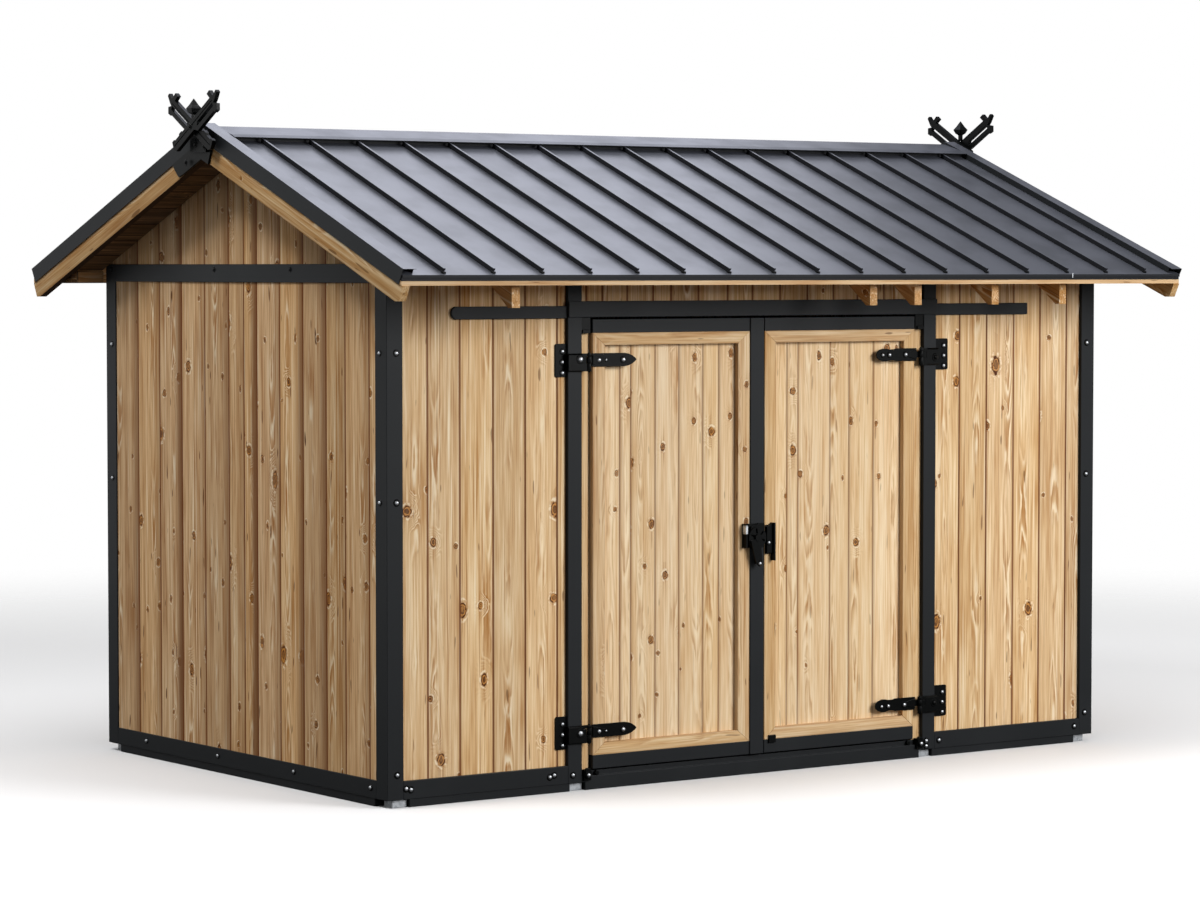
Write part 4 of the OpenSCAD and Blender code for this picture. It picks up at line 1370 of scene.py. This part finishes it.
@dataclass
class BoltSet:
    """Domed bolt heads on black washers, joined to one piece of each.

    Attributes:
        name: what the pieces' names start with.
        bolts: the bolts.
        body: the body that they ride on.
        head: radius of a head.
        flat: height of a head against that of half a ball.
        washer: radius of a washer.
        taper: radius of its upper side against that of its lower one.
        thick: its thickness.
        finish: the heads' finish.
        sides: faces round a head.
    """

    name: str
    bolts: Sequence[Bolt]
    body: Body = Body.SHED
    head: float = 8.5 * MM
    flat: float = 0.7
    washer: float = 15.0 * MM
    taper: float = 0.86
    thick: float = 2.2 * MM
    finish: Finish = Finish.ZINC
    sides: int = 16

    def build(self) -> None:
        """Makes every washer and every head."""
        heads = [self.seat(bolt, self.dome(bolt.size)) for bolt in self.bolts]
        make_piece(self.name + "_heads", heads, self.finish, self.body)
        washers = [self.seat(bolt, self.disc(bolt.size)) for bolt in self.bolts]
        make_piece(self.name + "_washers", washers, Finish.IRONWORK, self.body)

    def disc(self, size: float) -> bmesh.types.BMesh:
        """One washer lying on the ground plane.

        Args:
            size: its size against the usual one.

        Returns:
            Its mesh.
        """
        bm = bmesh.new()
        radius = self.washer * size
        bmesh.ops.create_cone(bm, cap_ends=True, segments=self.sides, radius1=radius,
                              radius2=radius * self.taper, depth=self.thick)
        bmesh.ops.translate(bm, verts=bm.verts, vec=UP * self.thick / 2)
        return bm

    def dome(self, size: float) -> bmesh.types.BMesh:
        """One domed head on top of its washer.

        Args:
            size: its size against the usual one.

        Returns:
            Its mesh.
        """
        bm = bmesh.new()
        bmesh.ops.create_uvsphere(bm, u_segments=self.sides, v_segments=self.sides // 2,
                                  radius=self.head * size)
        keep_side(bm, (UP * -HAIR, UP))
        bmesh.ops.scale(bm, verts=bm.verts, vec=(1, 1, self.flat))
        bmesh.ops.translate(bm, verts=bm.verts, vec=UP * self.thick)
        return bm

    def seat(self, bolt: Bolt, bm: bmesh.types.BMesh) -> bmesh.types.BMesh:
        """Turns and moves a part of a bolt to its place.

        Args:
            bolt: the bolt.
            bm: the part, made at the origin.

        Returns:
            The same mesh.
        """
        turn = bolt.out.to_track_quat("Z", "Y").to_matrix().to_4x4()
        bmesh.ops.transform(bm, matrix=Matrix.Translation(bolt.place) @ turn, verts=bm.verts)
        return bm


# ---------------------------------------------------------------- the shed's parts


@dataclass
class Walls:
    """The boarded walls, front, gables and back, and the floor.

    Attributes:
        left_joints, right_joints: joints of the front wall beside the door.
        over_joints: joints of the front wall over the door.
        gable_joints: joints of both gable walls.
        back_width: width of the back wall's boards.
        floor_width: width of the floor's boards.
        least: least width of the last board.
    """

    left_joints: Sequence[float] = (-1652, -1501, -1344, -1190, -1036)
    right_joints: Sequence[float] = (1080, 1235, 1391, 1544, 1700)
    over_joints: Sequence[float] = (-893, -813, -690, -560, -470, -330, -180, -50, 95, 240, 380, 510, 655,
                                    790)
    gable_joints: Sequence[float] = (-999, -822, -679, -503, -322, -141, -36, 87, 286, 480, 671, 860)
    back_width: float = 148.0
    floor_width: float = 140.0
    least: float = 40.0

    def build(self, dice: random.Random) -> None:
        """Builds every boarded wall and the floor.

        Args:
            dice: the source of the boards' tones.
        """
        low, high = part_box("back_wall")
        back = even_joints(low.x, high.x, self.back_width, self.least)
        low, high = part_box("floor_deck")
        floor = even_joints(low.y, high.y, self.floor_width, self.least)
        for cladding in (
            BoardCladding("front_wall_left", RIGHT, self.left_joints, FRONT, UP),
            BoardCladding("front_wall_right", RIGHT, self.right_joints, FRONT, UP),
            BoardCladding("front_wall_over_door", RIGHT, self.over_joints, FRONT, UP),
            BoardCladding("left_gable_wall", BACK, self.gable_joints, LEFT, UP, Finish.GABLE),
            BoardCladding("right_gable_wall", BACK, self.gable_joints, RIGHT, UP, Finish.GABLE),
            BoardCladding("back_wall", RIGHT, back, BACK, UP),
            BoardCladding("floor_deck", BACK, floor, UP, RIGHT, Finish.ROUGH),
        ):
            cladding.build(dice)


@dataclass
class Roof:
    """The roof's boards, rafters, sheet and trims.

    Attributes:
        board: width of the roof boards.
        least: least width of the last board.
        chamfer: size of the chamfer at the roof boards' joints.
        pitch: slope in degrees.
        seams: number of seams on either side of the middle one.
        seam_pitch: distance between two seams.
        eave_run, eave_top: run and height of the sheet's lower edge.
        knob_run: run from the ridge to the seams' ends.
        knob: size of a seam's end.
        knob_edge: its rounding.
        fold: rounding of the sheet's folds.
        iron_edge: rounding of the plates that carry the finials.
        finial_places: place, height and carrier of the bolts at both ends.
        finial_bolt: their size against the usual one.
        clip, clip_size: middle and size of the clip on the front eave.
    """

    board: float = 118.0
    least: float = 30.0
    chamfer: float = 1.5 * MM
    pitch: float = 21.4
    seams: int = 8
    seam_pitch: float = 227.0
    eave_run: float = 1498.0
    eave_top: float = 2074.0
    knob_run: float = 1484.0
    knob: Triple = (17.0, 15.0, 16.0)
    knob_edge: float = 2.5 * MM
    fold: float = 0.7 * MM
    iron_edge: float = 1.6 * MM
    finial_places: Sequence[tuple[float, float, str]] = (
        (100.0, 2530.0, "apex_plates"), (-50.0, 2590.0, "apex_plates"), (20.0, 2600.0, "apex_plates"),
        (0.0, 2672.0, "finial_arms"))
    finial_bolt: float = 0.9
    clip: Triple = (1380.0, -1504.5, 2068.0)
    clip_size: Triple = (5.0, 2.0, 20.0)

    def build(self, dice: random.Random) -> None:
        """Builds the timber under the sheet, the sheet and the finials.

        Args:
            dice: the source of the boards' tones.
        """
        self.timber(dice)
        self.sheet()
        for node in ("apex_plates", "finial_arms", "finial_spikes"):
            SteelNode(node, Finish.IRONWORK, radius=self.iron_edge).build()
        self.finial_bolts()
        self.seam_ends()
        make_plates("eave_clip", [self.clip], self.clip_size, Finish.ZINC, Body.SHED)

    def timber(self, dice: random.Random) -> None:
        """Builds the timber under the sheet.

        Args:
            dice: the source of the boards' tones.
        """
        for node in ("roof_boards_front", "roof_boards_back"):
            low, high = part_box(node)
            joints = even_joints(low.y, high.y, self.board, self.least)
            BoardCladding(node, BACK, joints, -UP, RIGHT, Finish.FRAME, chamfer=self.chamfer,
                          sides=Sides([Finish.ROUGH], faces_down)).build(dice)
        GrainedTimber("rafters", BACK, RIGHT, Finish.ROUGH, pitch=self.pitch).build(dice)
        # The barge boards' lower faces take the dark soffit finish, as painted shade
        GrainedTimber("barge_boards", BACK, RIGHT, Finish.TRIM, pitch=self.pitch,
                      sides=Sides([Finish.SOFFIT], faces_down)).build(dice)
        VergeLining(self.pitch, self.eave_run).build(dice)
        GrainedTimber("ridge_beam", RIGHT, BACK, Finish.ROUGH).build(dice)
        GrainedTimber("wall_plates", RIGHT, BACK, Finish.ROUGH).build(dice)
        GrainedTimber("roof_battens", RIGHT, UP, Finish.ROUGH).build(dice)

    def sheet(self) -> None:
        """Finishes the sheet, the ridge cap and the trims."""
        # Faces that don't look up get a darker finish as painted shade: near-black grey on the sheet and the ridge
        # cap; the eave trims are wholly in that grey
        shaded, black = (Sides([finish], faces_aside) for finish in (Finish.SHADED, Finish.BLACK))
        for node in ("roof_sheet_front", "roof_sheet_back"):
            SeamedSheet(node, Finish.ROOF, slot=Slot.ROOF_STEEL, radius=self.fold, sides=shaded).build()
        # The verge trims' faces that don't look up are black powder coat, as painted shade
        for node, finish, sides in (("ridge_cap", Finish.CAP, shaded), ("verge_trims", Finish.ROOF, black),
                                    ("eave_trims", Finish.SHADED, None)):
            SteelNode(node, finish, slot=Slot.ROOF_STEEL, radius=self.fold, sides=sides).build()

    def finial_bolts(self) -> None:
        """Bolts through the plates that carry the finials, at both ends."""
        bolts = []
        for end, out in enumerate((LEFT, RIGHT)):
            for y, z, node in self.finial_places:
                place = Vector((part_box(node)[end].x, y * MM, z * MM))
                bolts.append(Bolt(place, out, self.finial_bolt))
        BoltSet("finial_bolts", bolts, finish=Finish.IRONWORK).build()

    def seam_ends(self) -> None:
        """The folded knob that closes each seam just above the eave, in near-black ironwork as painted shade."""
        slope = math.radians(self.pitch)
        rise = self.eave_top + (self.eave_run - self.knob_run) * math.tan(slope)
        for name, side in (("front", -1), ("back", 1)):
            turn = Matrix.Rotation(-side * slope, 4, "X")
            middles = [Vector((i * self.seam_pitch, side * self.knob_run, rise)) * MM
                       for i in range(-self.seams, self.seams + 1)]
            knobs = [block(self.knob, self.knob_edge, 2, Matrix.Translation(middle) @ turn)
                     for middle in middles]
            make_piece("seam_ends_" + name, knobs, Finish.IRONWORK, Body.SHED)


@dataclass
class SteelFrame:
    """The posts, sills, beams and feet with their bolts.

    Attributes:
        post_x, post_y: place of the corner posts' bolts from the middle, on the front and on a gable.
        post_heights: their heights. The lowest is left out on the gables.
        sills: place and height of the bolts in the front and back sills.
        side_sills, side_height: places and height of the bolts in the side sills.
        ties, tie_height: places and height of the bolts in the tie beams.
        gable_bolt, tie_bolt: size of the bolts on the gables and in the tie beams against the usual one.
        foot_edge: rounding of the feet.
    """

    post_x: float = 1806.0
    post_y: float = 1085.0
    post_heights: Sequence[float] = (130, 1190, 1770)
    sills: Sequence[tuple[float, float]] = (
        (-1765, 74), (-1743, 69), (-1063, 72), (-1084, 66), (-971, 65), (886, 69), (886, 47), (958, 67),
        (1745, 72))
    side_sills: Sequence[float] = (-1012, -430, 182, 794)
    side_height: float = 72.0
    ties: Sequence[float] = (-1085, -415, 195, 1085)
    tie_height: float = 2093.0
    gable_bolt: float = 0.9
    tie_bolt: float = 0.8
    foot_edge: float = 1.5 * MM

    def build(self) -> None:
        """Finishes the frame's steel and sets its bolts."""
        for node in ("corner_posts", "door_posts", "back_posts", "front_sills", "side_sills", "back_sills",
                     "tie_beams", "door_threshold", "door_header", "header_bars", "base_frame"):
            SteelNode(node).build()
        SteelNode("feet", Finish.FEET, slot=Slot.GALVANISED, radius=self.foot_edge).build()
        low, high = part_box("corner_posts")
        ends = ((low.y, FRONT), (high.y, BACK))
        gables = ((low.x, LEFT), (high.x, RIGHT))
        long = list(self.sills) + [(side * self.post_x, z) for side in (-1, 1) for z in self.post_heights]
        short = [(side * self.post_y, z) for side in (-1, 1) for z in self.post_heights[1:]]
        short += [(y, self.side_height) for y in self.side_sills]
        bolts = [Bolt(Vector((x * MM, y, z * MM)), out) for x, z in long for y, out in ends]
        bolts += [Bolt(Vector((x, y * MM, z * MM)), out, self.gable_bolt)
                  for y, z in short for x, out in gables]
        BoltSet("frame_bolts", bolts).build()
        ties = [Bolt(Vector((x, y * MM, self.tie_height * MM)), out, self.tie_bolt)
                for y in self.ties for x, out in gables]
        BoltSet("tie_beam_bolts", ties, finish=Finish.BLACK).build()


@dataclass
class DoorLeaf:
    """One door leaf: mitred frame, boards, steel rails and straps.

    Attributes:
        body: which leaf.
        joints: joints between its boards.
        strap_bolts: place and size of the bolts in its straps.
        strap_heights: the straps' heights.
        proud: how far the straps stand in front of the frame.
        gap: width of a joint between boards.
        chamfer: size of the chamfer on both sides of a joint.
        strap_edge: rounding of the straps.
    """

    body: Body
    joints: Sequence[float]
    strap_bolts: Sequence[tuple[float, float]]
    strap_heights: Sequence[float]
    proud: float = 6.5 * MM
    gap: float = 0.3 * MM
    chamfer: float = 1.0 * MM
    strap_edge: float = 1.2 * MM

    def build(self, dice: random.Random) -> None:
        """Builds the leaf's pieces.

        Args:
            dice: the source of the boards' tones.
        """
        name = self.body.value
        BoardCladding(name + "_boards", RIGHT, self.joints, FRONT, UP, Finish.LEAF, self.body, gap=self.gap,
                      chamfer=self.chamfer).build(dice)
        MitredFrame(name + "_frame", self.body).build(dice)
        SteelNode(name + "_rails", body=self.body).build()
        SteelNode(name + "_straps", Finish.IRONWORK, self.body, radius=self.strap_edge).build()
        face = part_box(name + "_frame")[0].y - self.proud
        bolts = [Bolt(Vector((x * MM, face, z * MM)), size=size)
                 for x, size in self.strap_bolts for z in self.strap_heights]
        BoltSet(name + "_bolts", bolts, self.body).build()


@dataclass(frozen=True)
class Studs:
    """Bolts of one size on the doorway's front, each at every place and height.

    Attributes:
        name: what the pieces' names start with.
        places: their places along the front.
        face: the place of the surface that they sit on, in Y.
        heights: their heights.
        size: their size against the usual one.
        body: the body that they ride on.
        finish: the heads' finish.
    """

    name: str
    places: Sequence[float]
    face: float
    heights: Sequence[float]
    size: float
    body: Body = Body.SHED
    finish: Finish = Finish.ZINC

    def bolts(self) -> list[Bolt]:
        """The bolts, place by place."""
        return [Bolt(Vector((x, self.face, z)) * MM, size=self.size)
                for x in self.places for z in self.heights]

    def build(self) -> None:
        """Makes the bolts."""
        BoltSet(self.name, self.bolts(), self.body, finish=self.finish).build()


@dataclass
class Doorway:
    """The jambs, blocks, hinges and latch around the leaves.

    Attributes:
        left_joints, right_joints: joints between the leaves' boards.
        left_bolts, right_bolts: place and size of the bolts in the leaves' straps.
        strap_heights: the straps' heights.
        plates, saddles: the bolts of the hinge plates and of the saddles on them.
        studs: the single bolts, apart from those in the pivot blocks.
        pivots, pivot_height: places and height of the bolts in the pivot blocks.
        highlight_plate, highlight_plate_size: middle and size of the pale plate on the latch, a painted highlight.
        guide, guide_size: middle and size of the latch's guide block.
        cheek_places, cheek_face, cheek_size: place, middle in Y and size of the hinges' cheeks.
        iron_edge: rounding of the ironwork.
    """

    left_joints: Sequence[float] = (-723, -668, -545, -425, -302, -220)
    right_joints: Sequence[float] = (138, 197, 369, 472, 604)
    left_bolts: Sequence[tuple[float, float]] = ((-847, 1.0), (-812, 0.5), (-727, 1.05))
    right_bolts: Sequence[tuple[float, float]] = ((631, 0.75), (668, 0.9), (757, 1.0))
    strap_heights: Sequence[float] = (234, 1731)
    plates: Studs = Studs("hinge_bolts", (-1015, 984), -1124, (187, 230, 273, 1681, 1724, 1767), 0.9)
    saddles: Studs = Studs("hinge_bolts", (-944,), -1149, (233, 1735), 1.3)
    studs: Sequence[Studs] = (
        Studs("keeper_studs", (917,), -1149, (233, 1718), 1.2, finish=Finish.IRONWORK),
        Studs("lever_bolts", (-50,), -1171, (878,), 0.85, Body.LEFT_LEAF),
        Studs("keeper_bolts", (12,), -1151, (961,), 0.8, Body.RIGHT_LEAF))
    pivots: Sequence[float] = (-905, 845)
    pivot_height: float = 62.0
    highlight_plate: Triple = (-114.0, -1156.0, 1019.0)
    highlight_plate_size: Triple = (11.0, 23.0, 36.0)
    guide: Triple = (41.0, -1139.0, 140.0)
    guide_size: Triple = (37.0, 9.0, 32.0)
    cheek_places: Sequence[float] = (-921.5, 860.5)
    cheek_face: float = -1143.0
    cheek_size: Triple = (18.0, 11.0, 31.0)
    iron_edge: float = 1.2 * MM

    def build(self, dice: random.Random) -> None:
        """Builds the doorway's pieces.

        Args:
            dice: the source of the boards' tones.
        """
        GrainedTimber("door_jambs", UP, FRONT, Finish.FRAME).build(dice)
        for node in ("pivot_blocks", "hinge_brackets"):
            SteelNode(node, Finish.IRONWORK, radius=self.iron_edge).build()
        DoorLeaf(Body.LEFT_LEAF, self.left_joints, self.left_bolts, self.strap_heights).build(dice)
        DoorLeaf(Body.RIGHT_LEAF, self.right_joints, self.right_bolts, self.strap_heights).build(dice)
        BoltSet("hinge_bolts", self.plates.bolts() + self.saddles.bolts()).build()
        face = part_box("pivot_blocks")[0].y / MM
        for studs in (Studs("pivot_studs", self.pivots, face, (self.pivot_height,), 1.0), *self.studs):
            studs.build()
        # Pale plate on the latch: painted highlight
        make_plates("latch_highlight_plate", [self.highlight_plate], self.highlight_plate_size, Finish.FEET, Body.LEFT_LEAF)
        make_plates("guide_block", [self.guide], self.guide_size, Finish.IRONWORK, Body.RIGHT_LEAF)
        cheeks = [(x, self.cheek_face, z) for x in self.cheek_places for z in self.strap_heights]
        make_plates("hinge_cheeks", cheeks, self.cheek_size, Finish.IRONWORK, Body.SHED)
        for node, body in (("door_latch", Body.LEFT_LEAF), ("latch_keeper", Body.RIGHT_LEAF)):
            SteelNode(node, Finish.IRONWORK, body, radius=self.iron_edge).build()


# ---------------------------------------------------------------- studio


@dataclass(frozen=True)
class SoftLamp:
    """A square soft lamp: where it hangs, what it faces, its side in metres and its watts."""

    name: str
    place: Triple
    target: Triple
    size: float
    watts: float

    def build(self) -> None:
        """Adds the lamp."""
        light = bpy.data.lights.new(self.name, "AREA")
        light.shape = "SQUARE"
        light.size = self.size
        light.energy = self.watts
        lamp = bpy.data.objects.new(self.name, light)
        lamp.location = self.place
        lamp.rotation_euler = (Vector(self.target) - Vector(self.place)).to_track_quat("-Z", "Y").to_euler()
        bpy.context.scene.collection.objects.link(lamp)


@dataclass
class Studio:
    """White floor, soft lamps, the card that the roof mirrors, and the camera.

    Attributes:
        camera_place: the camera's place.
        camera_turn, camera_tilt: its turn and its tilt in degrees.
        lens: its focal length on a sensor 36 mm wide.
        sky: strength of the light from above.
        floor_paint: the floor's colour as the camera sees it.
        floor_bounce: its colour for the light that it throws back.
        floor_radius: radius of the floor.
        floor_fade: shares of the radius where the floor has gone and where it is whole.
        card_place, card_faces: the card's place and what it faces.
        card_size: its side.
        card_edge: where its dark part ends and where its bright part starts, in X.
        card_light, card_dark: strengths of the two parts.
        card_colour: colour of its light.
        lamps: the lamps.
    """

    camera_place: Triple = (-9.6701, -13.4854, 2.0972)
    camera_turn: float = -35.572
    camera_tilt: float = -2.777
    lens: float = 113.505
    sky: float = 0.55
    floor_paint: str = "#e2e2e3"
    floor_bounce: str = "#656565"
    floor_radius: float = 11.0
    floor_fade: tuple[float, float] = (0.98, 0.35)
    card_place: Triple = (3.2, 2.6, 5.1)
    card_faces: Triple = (0.0, -0.75, 2.3)
    card_size: float = 12.0
    card_edge: tuple[float, float] = (4.4, 3.0)
    card_light: float = 2.7
    card_dark: float = 0.3
    card_colour: str = "#dde0ee"
    lamps: Sequence[SoftLamp] = (
        SoftLamp("key", (3.8, -9.5, 4.6), (0.3, -0.6, 1.1), 4.5, 920.0),
        SoftLamp("top", (0.0, -1.0, 8.5), (0.0, 0.0, 0.0), 6.0, 350.0),
        SoftLamp("fill", (-5.9, -0.4, 9.0), (-1.8, 0.0, 1.2), 3.0, 500.0),
    )

    def build(self) -> None:
        """Builds the whole studio."""
        self.world()
        self.floor()
        for lamp in self.lamps:
            lamp.build()
        self.card()
        self.camera()

    def world(self) -> None:
        """Soft light from above, and plain white wherever the camera or a gloss looks."""
        world = bpy.data.worlds.new("studio")
        bpy.context.scene.world = world
        world.use_nodes = True
        s = Wiring(world.node_tree)
        ray = s.add(Op.LIGHT_PATH).outputs
        seen = s.add(Op.ADD, ray["Is Camera Ray"], ray["Is Glossy Ray"])
        seen = s.add(Op.ADD, seen, ray["Is Transmission Ray"], use_clamp=True)
        height = s.add(Op.SPLIT, s.add(Op.COORDINATES).outputs["Generated"]).outputs["Z"]
        sky = s.add(Op.MULTIPLY, s.add(Op.STEP, height, -0.05, 0.5), self.sky)
        light = s.add(Op.BACKGROUND, linear("#ffffff"), s.add(Op.GREATER, seen, sky))
        s.add(Op.WORLD_OUTPUT, light)

    def floor(self) -> None:
        """A white floor that fades into the background and throws little light back up."""
        s = Shader("white_floor")
        seen = s.add(Op.LIGHT_PATH).outputs["Is Camera Ray"]
        paint = s.add(Op.MIX, seen, linear(self.floor_bounce), linear(self.floor_paint))
        away = s.add(Op.LENGTH, s.add(Op.COORDINATES).outputs["Object"])
        fade = s.add(Op.STEP, away, *(self.floor_radius * share for share in self.floor_fade))
        material = s.close(Base_Color=paint, Roughness=0.9, Specular_IOR_Level=0.0, Alpha=fade)
        bm = bmesh.new()
        bmesh.ops.create_circle(bm, cap_ends=True, segments=96, radius=self.floor_radius)
        floor = show("studio_floor", bm, [material])

    def card(self) -> None:
        """The card behind the shed that the roof mirrors: bright to the left, dark to the right."""
        s = Shader("roof_card")
        x = s.add(Op.SPLIT, s.add(Op.GEOMETRY).outputs["Position"]).outputs["X"]
        light = s.add(Op.MULTIPLY_ADD, s.add(Op.STEP, x, *self.card_edge), self.card_light - self.card_dark,
                      self.card_dark)
        material = s.close(Base_Color=linear("#000000"), Specular_IOR_Level=0.0,
                           Emission_Color=linear(self.card_colour), Emission_Strength=light)
        bm = bmesh.new()
        bmesh.ops.create_grid(bm, x_segments=1, y_segments=1, size=self.card_size / 2)
        card = show("roof_card", bm, [material])
        card.location = self.card_place
        facing = Vector(self.card_faces) - Vector(self.card_place)
        card.rotation_euler = facing.to_track_quat("Z", "Y").to_euler()
        for ray in ("camera", "diffuse", "shadow", "transmission", "volume_scatter"):
            setattr(card, "visible_" + ray, False)

    def camera(self) -> None:
        """Sets the camera."""
        data = bpy.data.cameras.new("camera")
        data.sensor_width = 36.0
        data.lens = self.lens
        data.clip_end = 200.0
        camera = bpy.data.objects.new("camera", data)
        camera.location = self.camera_place
        camera.rotation_euler = (math.radians(90 + self.camera_tilt), 0, math.radians(self.camera_turn))
        bpy.context.scene.collection.objects.link(camera)
        bpy.context.scene.camera = camera


def main() -> None:
    """Builds the shed's looks and the studio."""
    logging.basicConfig(level=logging.INFO, format="%(name)s: %(message)s")
    bpy.context.scene.view_settings.view_transform = "Standard"
    dice = random.Random(27)
    Walls().build(dice)
    Roof().build(dice)
    SteelFrame().build()
    Doorway().build(dice)
    Studio().build()


if __name__ == "__main__":
    main()
